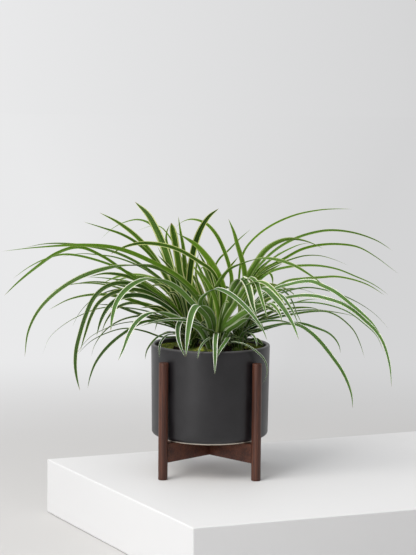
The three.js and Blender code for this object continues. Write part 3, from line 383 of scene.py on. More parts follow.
# ---------------------------------------------------------------- curves and blades
def at_depth(x, z, depth):
    """The place at a depth that EYE sees at a point of the upright plane."""
    seen = np.array((x, 0.0, z)) - EYE
    return EYE + (1 + depth / -EYE[1]) * seen


def control_points(crown, listed):
    """A listed leaf's points, from its crown on, and its heading. Depths not listed lie in between."""
    root = np.array((crown[0], crown[1], LEAF_ROOT_HEIGHT), float)
    scale = 1 - crown[1] / -EYE[1]
    seen_root = [EYE[0] + (root[0] - EYE[0]) * scale, EYE[2] + (root[2] - EYE[2]) * scale, crown[1]]
    rows = [seen_root] + [list(row) for row in listed]
    way = [0.0]
    for one, other in zip(rows, rows[1:]):
        across = abs(other[0] - one[0])
        way.append(way[-1] + across + 0.3 * math.hypot(across, other[1] - one[1]))
    known = [i for i, row in enumerate(rows) if len(row) > 2]
    depths = np.interp(way, [way[i] for i in known], [rows[i][2] for i in known])
    points = [at_depth(row[0], row[1], depth) for row, depth in zip(rows, depths)]
    heading = (points[-1] - root) * (1, 1, 0)
    heading /= np.linalg.norm(heading)
    points[0] = root + FINE_ROOT_OFFSET * heading
    return np.array(points), heading


def draw(seed, count):
    """A draw from 0 to 1, by the same formula as the draws of the solids."""
    value = math.sin(seed * 127.1 + count * 311.7) * 43758.5453
    return value - math.floor(value)


def between(limits, share):
    return limits[0] + (limits[1] - limits[0]) * share


def arching(crown, azimuth, offset, bends, reach, crest, drop, **form):
    """A leaf placed by a rule, from its crown's side past one bend to its crest, and down to its tip.

    The bends are shares of the whole: the reach and the rise at the bend, and the reach at the crest.
    """
    heading = np.array((math.cos(azimuth), math.sin(azimuth), 0))
    outward = [
        (offset, LEAF_ROOT_HEIGHT),
        (bends[0] * reach, LEAF_ROOT_HEIGHT + bends[1] * (crest - LEAF_ROOT_HEIGHT)),
        (bends[2] * reach, crest),
        (reach, crest - drop),
    ]
    points = np.array([np.array((crown[0], crown[1], z)) + out * heading for out, z in outward])
    return {"points": points, "heading": heading, **form}


def inner_leaves(plan):
    """Upright leaves, spread over a sector around a crown."""
    inner = plan["inner"]
    leaves = []
    for i in range(inner["count"]):
        pick = [draw(inner["seed"], 7 * i + k) for k in range(5)]
        leaves.append(arching(
            plan["crown"], math.radians(between(inner["sector"], (i + pick[0]) / inner["count"])),
            FINE_ROOT_OFFSET, INNER_BENDS,
            between(INNER_REACH, pick[1]), between(INNER_CREST, pick[2]), between(INNER_TIP_DROP, pick[3]),
            width=between(INNER_WIDTH, pick[4]), taper=INNER_TAPER, base_face=INNER_BASE_FACE,
            face=INNER_FACE,
        ))
    return leaves


def sheath_leaves(plan):
    """Short leaves low around a crown, which fill its foot; their dark tint is painted shade at the foot."""
    leaves = []
    for i in range(SHEATH_COUNT):
        pick = [draw(plan["inner"]["seed"] + 10, 5 * i + k) for k in range(4)]
        leaves.append(arching(
            plan["crown"], GOLDEN_ANGLE * i + 0.5 * pick[0], SHEATH_ROOT_OFFSET, SHEATH_BENDS,
            between(SHEATH_REACH, pick[1]), between(SHEATH_CREST, pick[2]), SHEATH_DROP * pick[3],
            width=between(SHEATH_WIDTH, pick[3]), taper=SHEATH_TAPER, base_face=SHEATH_BASE_FACE,
            face=SHEATH_FACE,
        ))
    return leaves


class Curve:
    """A centripetal Catmull-Rom curve through the points, and its places at even shares of its length."""

    SAMPLES = 500
    NEARBY = 0.004

    def __init__(self, points):
        first = 2 * points[0] - points[1]
        last = 2 * points[-1] - points[-2]
        held = np.vstack([first, points, last])
        spans = len(points) - 1
        t = np.linspace(0, spans, self.SAMPLES + 1)
        k = np.minimum(t.astype(int), spans - 1)
        u = (t - k)[:, None]
        p0, p1, p2, p3 = (held[k + i] for i in range(4))

        def gap(a, b):
            return np.maximum(np.linalg.norm(a - b, axis=1) ** 0.5, 1e-2)[:, None]

        d0, d1, d2 = gap(p0, p1), gap(p1, p2), gap(p2, p3)
        t1 = ((p1 - p0) / d0 - (p2 - p0) / (d0 + d1) + (p2 - p1) / d1) * d1
        t2 = ((p2 - p1) / d1 - (p3 - p1) / (d1 + d2) + (p3 - p2) / d2) * d1
        self.place = (
            p1 + t1 * u + (-3 * p1 + 3 * p2 - 2 * t1 - t2) * u**2 + (2 * p1 - 2 * p2 + t1 + t2) * u**3
        )
        steps = np.linalg.norm(np.diff(self.place, axis=0), axis=1)
        self.way = np.concatenate([[0], np.cumsum(steps)])
        self.length = self.way[-1]

    def at(self, share):
        way = np.asarray(share) * self.length
        return np.stack([np.interp(way, self.way, self.place[:, i]) for i in range(3)], axis=-1)

    def crest(self):
        """The share of the length at which the curve is highest."""
        return self.way[np.argmax(self.place[:, 2])] / self.length

    def along(self, share):
        ahead = self.at(np.minimum(share + self.NEARBY, 1))
        behind = self.at(np.maximum(share - self.NEARBY, 0))
        return unit(ahead - behind)


def unit(vectors):
    return vectors / np.linalg.norm(vectors, axis=-1, keepdims=True)


def smooth(low, high, value):
    share = np.clip((value - low) / (high - low), 0, 1)
    return share * share * (3 - 2 * share)


def blade_width(share, width, taper):
    swell = np.sin(np.pi / 2 * np.minimum(1, share / LEAF_WIDEST_AT))
    past = np.maximum(0, (share - LEAF_WIDEST_AT) / (1 - LEAF_WIDEST_AT))
    return width * (FINE_BASE_SHARE + (1 - FINE_BASE_SHARE) * swell) * (1 - past**taper)


def blade(leaf, tones):
    """One channelled blade: a thin closed shell, thicker along the middle, that narrows to a point."""
    curve = Curve(leaf["points"])
    rows = int(np.clip(curve.length / ROW_LENGTH, *ROW_LIMITS))
    share = np.linspace(0, LAST_ROW, rows + 1)
    centre = curve.at(share)
    along = curve.along(share)
    heading = leaf["heading"]
    level = np.array((heading[1], -heading[0], 0.0))
    towards = -1 if level[1] > 0 else 1
    across = unit(level - along * (along @ level)[:, None])
    upper = unit(np.cross(across, along))
    crest = curve.crest()
    settled = smooth(crest - FACE_TURN_BEFORE, crest + FACE_TURN_AFTER, share)
    phase = tones["phase"]
    sway = sum(size * np.sin(share * waves + times * phase) for size, waves, times in SWAYS)
    sway = sway * smooth(*SWAY_START, share)
    turn = np.radians(between((leaf["base_face"], leaf["face"]), settled) * towards + sway)[:, None]
    turned_across = across * np.cos(turn) - upper * np.sin(turn)
    turned_upper = upper * np.cos(turn) + across * np.sin(turn)

    ripple = 1 + RIPPLE * np.sin(share * RIPPLE_WAVES + phase)
    width = blade_width(share, leaf["width"], leaf["taper"]) * ripple
    near_tip = np.minimum(1, (1 - share) * curve.length / POINT_LENGTH)
    width = np.minimum(width, leaf["width"] * (1 - (1 - near_tip) ** 2))
    channel = width * np.interp(share, CHANNEL_AT, CHANNEL_DEPTH)
    v = np.linspace(-1, 1, ACROSS_STEPS + 1)
    rise = np.abs(v) ** 1.5
    slim = np.minimum(1, width / THIN_BELOW)[:, None]
    half = 0.5 * slim * (BLADE_EDGE_THICKNESS + (BLADE_THICKNESS - BLADE_EDGE_THICKNESS) * (1 - v**2))
    keel = KEEL_DEPTH * slim * np.exp(-((v / KEEL_SPREAD) ** 2))
    middle = channel[:, None] * rise - 0.3 * channel[:, None]
    top_height = middle + half - 0.4 * keel
    low_height = middle - half - keel
    side = (width[:, None] / 2) * (v * (1 - 0.12 * rise))

    def shell(height):
        sideways = side[..., None] * turned_across[:, None]
        return centre[:, None] + sideways + height[..., None] * turned_upper[:, None]

    ring = np.concatenate([shell(top_height), shell(low_height)[:, ::-1]], axis=1)
    count = ring.shape[1]
    corners = np.arange(count)
    starts = (np.arange(rows) * count)[:, None]
    one, two = starts + corners, starts + np.roll(corners, -1)
    # Both sides are cut along the same diagonals, so that they stay apart where the blade twists.
    below = (corners > ACROSS_STEPS) & (corners < 2 * ACROSS_STEPS + 1)
    last = np.where(below, one + count, two + count)
    first = np.where(below, two, one)
    faces = np.concatenate([
        np.stack([one, two, last], axis=-1).reshape(-1, 3),
        np.stack([first, two + count, one + count], axis=-1).reshape(-1, 3),
    ])
    ends = [list(range(count))[::-1], list(range(rows * count, (rows + 1) * count))]
    u = np.concatenate([(v + 1) / 2, (v[::-1] + 1) / 2])
    uv = np.stack([np.tile(u, rows + 1), np.repeat(share, count)], axis=-1)
    upper_side = np.tile(np.repeat([tones["vivid"], 0.0], ACROSS_STEPS + 1), rows + 1)
    tone = np.empty((len(uv), 4))
    tone[:, [0, 1, 3]] = tones["tint"], tones["white"], tones["margin"]
    tone[:, 2] = upper_side
    return ring.reshape(-1, 3) * MM, faces, ends, uv, tone


# ---------------------------------------------------------------- pieces
def object_from(name, verts, faces, material, shade_smooth=True):
    mesh = bpy.data.meshes.new(name)
    mesh.from_pydata([tuple(v) for v in verts], [], [tuple(f) for f in faces])
    mesh.materials.append(material)
    if shade_smooth:
        mesh.polygons.foreach_set("use_smooth", [True] * len(mesh.polygons))
    mesh.update()
    return placed(name, mesh)


def placed(name, data):
    made = bpy.data.objects.new(name, data)
    bpy.context.scene.collection.objects.link(made)
    return made


def prism(name, outline, push, ease, material, every_edge=True):
    """An outline of corners, in metres, pushed along a vector, with its edges eased.

    Where not every edge is eased, the ones along Y stay sharp.
    """
    bm = bmesh.new()
    bm.faces.new([bm.verts.new(corner) for corner in outline])
    grown = bmesh.ops.extrude_face_region(bm, geom=list(bm.faces))
    moved = [part for part in grown["geom"] if isinstance(part, bmesh.types.BMVert)]
    bmesh.ops.translate(bm, verts=moved, vec=push)
    bmesh.ops.recalc_face_normals(bm, faces=bm.faces)
    edges = [e for e in bm.edges if every_edge or abs(e.verts[0].co.y - e.verts[1].co.y) < 1e-6]
    bmesh.ops.bevel(bm, geom=edges, offset=ease, segments=3, affect="EDGES", profile=0.5)
    mesh = bpy.data.meshes.new(name)
    bm.to_mesh(mesh)
    bm.free()
    mesh.materials.append(material)
    return placed(name, mesh)


def leaf_piece(name, blades, material):
    """Some blades as one piece with sharp rims, and with the coordinates and tones that leaf_look reads."""
    verts, faces, uvs, tones = [], [], [], []
    start = 0
    for places, quads, ends, uv, tone in blades:
        verts.append(places)
        faces += (quads + start).tolist()
        faces += [[i + start for i in end] for end in ends]
        uvs.append(uv)
        tones.append(tone)
        start += len(places)
    piece = object_from(name, np.vstack(verts), faces, material)
    mesh = piece.data
    corner = np.empty(len(mesh.loops), np.int32)
    mesh.loops.foreach_get("vertex_index", corner)
    layer = mesh.uv_layers.new(name="Blade")
    layer.data.foreach_set("uv", np.vstack(uvs)[corner].astype(np.float32).ravel())
    held = mesh.color_attributes.new("Tone", "FLOAT_COLOR", "POINT")
    held.data.foreach_set("color", np.vstack(tones).astype(np.float32).ravel())
    bm = bmesh.new()
    bm.from_mesh(mesh)
    bmesh.ops.recalc_face_normals(bm, faces=bm.faces)
    for edge in bm.edges:
        if len(edge.link_faces) == 2 and edge.calc_face_angle(0) > math.radians(SHARP_RIM):
            edge.smooth = False
    bm.to_mesh(mesh)
    bm.free()
    return piece


# ---------------------------------------------------------------- materials
class Nodes:
    """Short ways to add nodes to a tree. A value is a number, a colour or the socket of another node."""

    def __init__(self, tree):
        self.tree = tree

    def put(self, node, socket, value):
        if isinstance(value, bpy.types.NodeSocket):
            self.tree.links.new(value, node.inputs[socket])
        else:
            node.inputs[socket].default_value = value

    def node(self, kind, inputs=(), **settings):
        made = self.tree.nodes.new("ShaderNode" + kind)
        for key, value in settings.items():
            setattr(made, key, value)
        for socket, value in dict(inputs).items():
            self.put(made, socket, value)
        return made

    def math(self, operation, *values):
        return self.node("Math", dict(enumerate(values)), operation=operation).outputs[0]

    def times(self, one, other):
        return self.math("MULTIPLY", one, other)

    def plus(self, one, other):
        return self.math("ADD", one, other)

    def minus(self, one, other):
        return self.math("SUBTRACT", one, other)

    def weighted(self, *pairs):
        """The sum of some values, each times its weight."""
        return functools.reduce(self.plus, [self.times(value, weight) for value, weight in pairs])

    def apart(self, value, kind="XYZ"):
        return self.node("Separate" + kind, {0: value}).outputs[:3]

    def together(self, x, y, z):
        return self.node("CombineXYZ", {0: x, 1: y, 2: z}).outputs[0]

    def mix(self, share, one, other):
        return self.node("Mix", {0: share, 6: one, 7: other}, data_type="RGBA").outputs[2]

    def ramp(self, value, low, high, start=0.0, end=1.0, shape="SMOOTHSTEP"):
        inputs = dict(enumerate((value, low, high, start, end)))
        return self.node("MapRange", inputs, interpolation_type=shape).outputs[0]

    def noise(self, vector, scale, detail=2.0, roughness=0.5):
        inputs = {"Vector": vector, "Scale": scale, "Detail": detail, "Roughness": roughness}
        return self.node("TexNoise", inputs).outputs["Fac"]


class Look(Nodes):
    """A material with a Principled shader. A setting's name is the socket's, with _ for each space."""

    def __init__(self, name, **settings):
        self.material = bpy.data.materials.new(name)
        self.material.use_nodes = True
        super().__init__(self.material.node_tree)
        self.shader = next(n for n in self.tree.nodes if n.type == "BSDF_PRINCIPLED")
        self.shade(**settings)

    def shade(self, **settings):
        for socket, value in settings.items():
            self.put(self.shader, socket.replace("_", " "), value)

    def object_place(self):
        return self.node("TexCoord").outputs["Object"]

    def bump(self, height, strength, distance):
        made = self.node("Bump", {"Height": height, "Strength": strength, "Distance": distance})
        self.shade(Normal=made.outputs[0])


def rgb(red, green, blue):
    """A colour given as it shows on screen, 0 to 255."""
    def linear(value):
        value /= 255
        return value / 12.92 if value <= 0.04045 else ((value + 0.055) / 1.055) ** 2.4

    return (linear(red), linear(green), linear(blue), 1)


def leaf_look():
    """Green with a pale margin, from a blade's own coordinates and its tones."""
    look = Look("leaf", Roughness=0.4, Specular_IOR_Level=0.16)
    across, along, _ = look.apart(look.node("UVMap", uv_map="Blade").outputs[0])
    tone = look.node("Attribute", attribute_name="Tone")
    tint, white, upper = look.apart(tone.outputs["Color"], "Color")
    edge = look.math("ABSOLUTE", look.minus(look.times(across, 2.0), 1.0))

    def patterned(around, down, leaf):
        return look.together(look.times(across, around), look.times(along, down), look.times(tint, leaf))

    vein = look.noise(patterned(30.0, 3.0, 40.0), 1.0, 2.0, 0.6)
    cloud = look.noise(patterned(5.0, 4.0, 23.0), 1.0, 1.0)
    deep = look.mix(white, rgb(28, 54, 2), rgb(33, 58, 22))
    light = look.mix(white, rgb(84, 120, 16), rgb(86, 119, 58))
    share = look.weighted((vein, 0.9), (cloud, 0.5), (tint, 0.35))
    green = look.mix(look.ramp(share, 0.45, 1.15), deep, light)

    # The pale margin wanders along each side, and shows in full on the upper side alone.
    pale = look.mix(white, rgb(172, 178, 104), rgb(226, 231, 212))
    which_side = look.ramp(across, 0.49, 0.51, 0.0, 9.0)
    slow = look.together(look.times(along, 2.2), look.times(tint, 61.0), which_side)
    wander = look.minus(look.noise(slow, 1.0, 1.0), 0.5)
    from_margin = look.minus(look.plus(edge, look.times(wander, 0.14)), tone.outputs["Alpha"])
    kept = look.plus(look.times(upper, 0.5), 0.5)
    colour = look.mix(look.times(look.ramp(from_margin, -0.03, 0.05), kept), green, pale)

    root = look.times(look.ramp(along, 0.16, 0.0), 0.12)
    colour = look.mix(root, colour, rgb(140, 160, 70))
    under = look.times(look.minus(1.0, upper), 0.22)
    colour = look.mix(under, colour, rgb(104, 136, 36))
    dry = look.ramp(look.plus(along, look.times(cloud, 0.02)), 0.985, 1.005)
    look.shade(
        Base_Color=look.mix(dry, colour, rgb(124, 110, 66)),
        Roughness=look.ramp(vein, 0.2, 0.9, 0.34, 0.5),
        Subsurface_Weight=0.16, Subsurface_Radius=(0.6, 1.0, 0.25), Subsurface_Scale=0.0016,
    )
    look.bump(look.weighted((vein, 0.7), (look.ramp(edge, 0.0, 0.12), 0.6)), 0.35, 0.0006)
    return look.material


def glaze_look():
    look = Look("glaze", Roughness=0.4, Specular_IOR_Level=0.55)
    place = look.object_place()
    cloud = look.noise(place, 28.0, 4.0, 0.6)
    fleck = look.noise(place, 900.0, 2.0, 0.7)
    colour = look.mix(look.ramp(cloud, 0.3, 0.7), rgb(18, 16, 19), rgb(26, 24, 27))
    colour = look.mix(look.times(look.ramp(fleck, 0.62, 0.8), 0.35), colour, rgb(56, 54, 55))
    # The lip is painted lighter towards its top: a painted highlight where the rounded rim catches the lamps.
    rim = look.ramp(look.apart(place)[2], (POT_RIM_HEIGHT - 4) * MM, (POT_RIM_HEIGHT - 0.5) * MM, 0.0, 0.4)
    look.shade(Base_Color=look.mix(rim, colour, rgb(104, 102, 103)),
               Roughness=look.ramp(cloud, 0.2, 0.8, 0.34, 0.42))
    look.bump(look.plus(look.times(fleck, 0.5), look.noise(place, 160.0, 3.0)), 0.14, 0.0005)
    return look.material


def clay_look():
    look = Look("raw_clay", Roughness=0.85)
    grain = look.noise(look.object_place(), 700.0, 3.0, 0.7)
    look.shade(Base_Color=look.mix(grain, rgb(196, 186, 168), rgb(228, 220, 206)))
    look.bump(grain, 0.4, 0.0004)
    return look.material


def wood_look(name, direction):
    """Dark stained walnut, with its grain along an axis of the object: 0, 1 or 2."""
    look = Look(name, Roughness=0.4, Specular_IOR_Level=0.4)
    place = look.object_place()

    def figure(across, along, detail, roughness):
        scale = [across] * 3
        scale[direction] = along
        stretched = look.node("Mapping", {"Vector": place, "Scale": scale}).outputs[0]
        return look.noise(stretched, 1.0, detail, roughness)

    grain = figure(430.0, 12.0, 4.0, 0.6)
    band = figure(60.0, 3.0, 3.0, 0.55)
    pores = figure(900.0, 40.0, 1.0, 0.5)
    share = look.weighted((grain, 0.6), (band, 0.5))
    colour = look.mix(look.ramp(share, 0.35, 0.75), rgb(50, 25, 17), rgb(94, 54, 38))
    dark = look.times(look.ramp(pores, 0.58, 0.72), 0.6)
    look.shade(Base_Color=look.mix(dark, colour, rgb(30, 15, 11)),
               Roughness=look.ramp(grain, 0.2, 0.8, 0.36, 0.52))
    look.bump(look.minus(grain, look.times(dark, 0.8)), 0.22, 0.0004)
    return look.material


def soil_look():
    look = Look("soil", Roughness=0.95, Specular_IOR_Level=0.2)
    place = look.object_place()
    cloud = look.noise(place, 90.0, 4.0, 0.65)
    fine = look.noise(place, 600.0, 3.0, 0.7)
    colour = look.mix(look.ramp(cloud, 0.3, 0.75), rgb(24, 16, 11), rgb(62, 44, 31))
    grit = look.times(look.ramp(fine, 0.62, 0.75), 0.5)
    look.shade(Base_Color=look.mix(grit, colour, rgb(104, 80, 58)))
    look.bump(fine, 0.7, 0.001)
    return look.material


def moss_look():
    look = Look("moss", Roughness=0.9, Specular_IOR_Level=0.2, Sheen_Weight=0.25, Sheen_Roughness=0.5)
    place = look.object_place()
    cloud = look.noise(place, 70.0, 3.0, 0.6)
    fine = look.noise(place, 800.0, 2.0, 0.7)
    colour = look.mix(look.ramp(cloud, 0.32, 0.68), rgb(74, 92, 18), rgb(164, 174, 50))
    # The low places of the bump are painted darker: painted shade between the tufts.
    deep = look.times(look.ramp(fine, 0.6, 0.35), 0.7)
    look.shade(Base_Color=look.mix(deep, colour, rgb(58, 76, 16)))
    look.bump(fine, 0.6, 0.001)
    return look.material


def block_look():
    look = Look("white_block", Roughness=0.62, Specular_IOR_Level=0.3)
    place = look.object_place()
    look.shade(Base_Color=look.mix(look.noise(place, 3.0, 3.0), rgb(217, 217, 218), rgb(222, 222, 222)))
    look.bump(look.noise(place, 120.0, 3.0), 0.05, 0.001)
    return look.material


def floor_look():
    """Pale grey where the lamps light it near the block, and far from it a painted glow, brighter at the
    left, which stands in for a lit wall, so that no horizon shows.
    """
    look = Look("floor", Roughness=0.9, Specular_IOR_Level=0.1)
    place = look.object_place()
    look.shade(Base_Color=look.mix(look.noise(place, 2.0, 3.0), rgb(196, 195, 194), rgb(201, 200, 199)))
    far = look.node("VectorMath", {0: place}, operation="LENGTH").outputs["Value"]
    direction = look.node("VectorMath", {0: place}, operation="NORMALIZE").outputs["Vector"]
    strength = wall_strength(look, direction)
    glow = look.node("Emission", {"Color": WALL_COLOUR, "Strength": strength}).outputs[0]
    blend = look.node("MixShader", {0: look.ramp(far, 0.5, 2.0), 1: look.shader.outputs[0], 2: glow})
    end = next(n for n in look.tree.nodes if n.type == "OUTPUT_MATERIAL")
    look.put(end, "Surface", blend.outputs[0])
    return look.material


def wall_strength(nodes, direction):
    """How bright the painted wall light is in a direction: more at the left than at the right."""
    sideways = nodes.apart(direction)[0]
    return nodes.ramp(sideways, -WALL_SPREAD, WALL_SPREAD, WALL_LEFT, WALL_RIGHT, "LINEAR")


# ---------------------------------------------------------------- pot, soil, moss
def turned(name, profile, segments, material):
    """A body of revolution about Z. The profile is [radius, height], and its ends may lie on the axis."""
    verts, faces, rings = [], [], []
    for radius, height in profile:
        if radius < 1e-6:
            rings.append([len(verts)] * segments)
            verts.append((0, 0, height * MM))
            continue
        rings.append(list(range(len(verts), len(verts) + segments)))
        for i in range(segments):
            angle = 2 * math.pi * i / segments
            verts.append((radius * math.cos(angle) * MM, radius * math.sin(angle) * MM, height * MM))
    for one, other in zip(rings, rings[1:]):
        for i in range(segments):
            j = (i + 1) % segments
            corners = list(dict.fromkeys([one[i], one[j], other[j], other[i]]))
            if len(corners) > 2:
                faces.append(corners)
    return object_from(name, verts, faces, material)


def arc(centre, height, across, up, start, end, steps):
    """The points of a profile along a part of an ellipse, from one angle in radians to another."""
    angles = np.linspace(start, end, steps + 1)
    return [(centre + across * math.cos(a), height + up * math.sin(a)) for a in angles]


def band(one, other, count):
    """The faces between two rings of vertices, each given by the number of its first one."""
    return [(one + j, other + j, other + (j + 1) % count, one + (j + 1) % count) for j in range(count)]


def outer_radius(height):
    """The radius of the pot's wall on the outside."""
    share = (height - POT_WALL_FOOT_HEIGHT) / (POT_RIM_HEIGHT - POT_WALL_FOOT_HEIGHT)
    return between((POT_WALL_FOOT_RADIUS, POT_RIM_RADIUS), share)


def make_pot(glaze, clay):
    band_top = BAR_TOP + POT_FOOT_BAND
    inside_floor = BAR_TOP + POT_FLOOR
    edge_run = POT_WALL_FOOT_RADIUS - POT_FOOT_RADIUS
    edge_rise = POT_WALL_FOOT_HEIGHT - band_top
    lip, corner = POT_WALL / 2, POT_INSIDE_CORNER
    wall = [(outer_radius(z), z) for z in np.linspace(POT_WALL_FOOT_HEIGHT + 8, POT_RIM_HEIGHT - 14, 12)]
    inner = [(outer_radius(z) - POT_WALL, z) for z in np.linspace(POT_RIM_HEIGHT - 8, inside_floor + 14, 8)]
    profile = (
        [(0, band_top), (POT_FOOT_RADIUS - 2, band_top)]
        + arc(POT_FOOT_RADIUS, POT_WALL_FOOT_HEIGHT, edge_run, edge_rise, -math.pi / 2, 0, 8)
        + wall
        + arc(POT_RIM_RADIUS - lip, POT_RIM_HEIGHT - lip, lip, lip, 0, math.pi, 10)
        + inner
        + arc(outer_radius(inside_floor) - POT_WALL - corner, inside_floor + corner, corner, corner,
              0, -math.pi / 2, 5)
        + [(0, inside_floor)]
    )
    pot = turned("pot_glazed_body", profile, POT_SEGMENTS, glaze)
    foot = turned(
        "pot_raw_foot",
        [(0, BAR_TOP), (POT_FOOT_RADIUS - 1.5, BAR_TOP), (POT_FOOT_RADIUS - 0.6, BAR_TOP + 0.3),
         (POT_FOOT_RADIUS, BAR_TOP + 1), (POT_FOOT_RADIUS, band_top), (0, band_top)],
        POT_SEGMENTS, clay,
    )
    return pot, foot


def crown_clearance(x, y):
    """The distance to the nearest crown."""
    return min(math.hypot(x - plan["crown"][0], y - plan["crown"][1]) for plan in ROSETTES.values())


def make_soil(material):
    """The soil's rough top, with a skirt below it."""
    radius = outer_radius(SOIL_TOP) - POT_WALL - SOIL_WALL_GAP
    rings, spokes = SOIL_RINGS, SOIL_SPOKES
    verts = [(0, 0, SOIL_TOP * MM)]
    for i in range(1, rings + 1):
        for j in range(spokes):
            angle = 2 * math.pi * j / spokes
            reach = radius * i / rings
            x, y = reach * math.cos(angle), reach * math.sin(angle)
            rough = 2.2 * noise.noise(Vector((x, y, 3)) * 0.11) + 1.1 * noise.noise(Vector((x, y, 9)) * 0.5)
            verts.append((x * MM, y * MM, (SOIL_TOP - SOIL_SINK + rough * (1 - (i / rings) ** 8)) * MM))
    faces = [(0, 1 + j, 1 + (j + 1) % spokes) for j in range(spokes)]
    for i in range(rings - 1):
        faces += band(1 + i * spokes, 1 + (i + 1) * spokes, spokes)
    rim = 1 + (rings - 1) * spokes
    low = len(verts)
    for j in range(spokes):
        x, y, _ = verts[rim + j]
        verts.append((x, y, (SOIL_TOP - SOIL_SKIRT) * MM))
    faces += band(rim, low, spokes)
    faces.append([low + j for j in range(spokes)][::-1])
    return object_from("soil_bed", verts, faces, material)


def lump(radius, stretch, turn, centre):
    """A rough pebble of 20 faces."""
    bm = bmesh.new()
    bmesh.ops.create_icosphere(bm, subdivisions=1, radius=radius)
    for vert in bm.verts:
        vert.co *= 1 + 0.3 * noise.noise(vert.co * 0.9 + Vector(centre))
    verts = [turn @ Vector((v.co.x * stretch[0], v.co.y * stretch[1], v.co.z * stretch[2])) + Vector(centre)
             for v in bm.verts]
    faces = [[v.index for v in f.verts] for f in bm.faces]
    bm.free()
    return verts, faces


def make_crumbs(material):
    verts, faces = [], []
    for _ in range(CRUMB_COUNT):
        reach = CRUMB_REACH * math.sqrt(random.uniform())
        angle = random.uniform(0, 2 * math.pi)
        x, y = reach * math.cos(angle), reach * math.sin(angle)
        size = between(CRUMB_SIZES, random.uniform() ** 2)
        stretch = random.uniform(0.6, 1.3, 3)
        spin = random.uniform(*ANY_TURN, 3)
        if crown_clearance(x, y) < CRUMB_CLEARANCE:
            continue
        turn = Matrix.Rotation(spin[0], 3, "X") @ Matrix.Rotation(spin[1], 3, "Z")
        centre = (x, y, SOIL_TOP - 0.8 + 0.3 * size)
        more, sides = lump(size, stretch, turn, centre)
        faces += [[i + len(verts) for i in side] for side in sides]
        verts += [v * MM for v in more]
    return object_from("soil_crumbs", verts, faces, material, shade_smooth=False)


def moss_height(angle):
    """The height of the cushion and the radius of its inner edge."""
    away = math.atan2(math.sin(angle - MOSS_MOUND_AZIMUTH), math.cos(angle - MOSS_MOUND_AZIMUTH))
    mound = MOSS_MOUND_HEIGHT * math.exp(-((away / MOSS_MOUND_SPREAD) ** 2))
    waves = 0.5 * math.sin(7 * angle + 1) + 0.35 * math.sin(17 * angle) + 0.3 * math.sin(29 * angle + 2)
    height = MOSS_HEIGHT + 1.5 * waves + mound * (1 + 0.15 * waves)
    inner = MOSS_INNER_RADIUS + 3 * math.sin(11 * angle + 0.5) + 2 * waves
    return height, inner


def moss_surface(angle, across):
    """A place on the cushion's top, between its inner edge (across 0) and the pot's wall (across 1)."""
    height, inner = moss_height(angle)
    outer = outer_radius(SOIL_TOP) - POT_WALL - MOSS_WALL_GAP
    radius = between((inner, outer), across)
    bulge = np.interp(across, MOSS_BULGE_AT, MOSS_BULGE)
    x, y = radius * math.cos(angle), radius * math.sin(angle)
    rough = 0.9 * noise.noise(Vector((x, y, 0)) * 0.22) + 0.5 * noise.noise(Vector((x, y, 5)) * 0.7)
    return x, y, SOIL_TOP + bulge * (height + 1.6 * rough)


def make_cushion(material):
    spokes, steps = MOSS_SPOKES, MOSS_STEPS
    verts, faces = [], []
    for i in range(spokes):
        angle = 2 * math.pi * i / spokes
        for j in range(steps + 1):
            x, y, z = moss_surface(angle, j / steps)
            verts.append((x * MM, y * MM, z * MM))
        for j in (1, 0):
            x, y, _ = moss_surface(angle, j)
            verts.append((x * MM, y * MM, (SOIL_TOP - MOSS_FOOT) * MM))
    ring = steps + 3
    for i in range(spokes):
        faces += band(i * ring, (i + 1) % spokes * ring, ring)
    return object_from("moss_cushion", verts, faces, material)


def make_fronds(material):
    verts, faces = [], []
    for _ in range(FROND_COUNT):
        angle = random.uniform(0, 2 * math.pi)
        across = random.uniform(0.02, 0.98)
        x, y, z = moss_surface(angle, across)
        foot = Vector((x, y, z - 0.6))
        lean = Vector((*random.normal(0, 0.5, 2), 1)).normalized()
        long = random.uniform(*FROND_LENGTH)
        spin = random.uniform(*ANY_TURN)
        for k in range(3):
            out = Vector((math.cos(spin + 2.1 * k), math.sin(spin + 2.1 * k), 0))
            wide = lean.cross(out) * 0.42
            mid = foot + lean * long * 0.55 + out * 0.75
            tip = foot + lean * long + out * 1.1
            start = len(verts)
            verts += [p * MM for p in (foot, mid - wide, tip, mid + wide)]
            faces.append((start, start + 1, start + 2, start + 3))
    return object_from("moss_fronds", verts, faces, material, shade_smooth=False)


# ---------------------------------------------------------------- stand
def make_leg(name, angle, material):
    ease = LEG_EASE
    profile = (
        [(0, 0)]
        + arc(LEG_RADIUS - ease, ease, ease, ease, -math.pi / 2, 0, 4)
        + [(LEG_RADIUS, z) for z in np.linspace(10, LEG_HEIGHT - 10, 8)]
        + arc(LEG_RADIUS - ease, LEG_HEIGHT - ease, ease, ease, 0, math.pi / 2, 4)
        + [(0, LEG_HEIGHT)]
    )
    leg = turned(name, profile, LEG_SEGMENTS, material)
    x, y = LEG_PITCH_RADIUS * math.cos(angle), LEG_PITCH_RADIUS * math.sin(angle)
    leg.data.transform(Matrix.Translation((x * MM, y * MM, 0)))
    return leg


def make_bar(name, angle, notch_on_top, material):
    half = LEG_PITCH_RADIUS - LEG_RADIUS + BAR_INTO_LEG
    notch = BAR_THICKNESS / 2 + NOTCH_PLAY
    low, top = BAR_TOP - BAR_HEIGHT, BAR_TOP
    middle = (low + top) / 2
    if notch_on_top:
        outline = [(-half, low), (half, low), (half, top), (notch, top), (notch, middle), (-notch, middle),
                   (-notch, top), (-half, top)]
    else:
        outline = [(-half, low), (-notch, low), (-notch, middle), (notch, middle), (notch, low), (half, low),
                   (half, top), (-half, top)]
    front = [(x * MM, -BAR_THICKNESS / 2 * MM, z * MM) for x, z in outline]
    bar = prism(name, front, (0, BAR_THICKNESS * MM, 0), BAR_EASE * MM, material, every_edge=False)
    bar.data.transform(Matrix.Rotation(angle, 4, "Z"))
    return bar


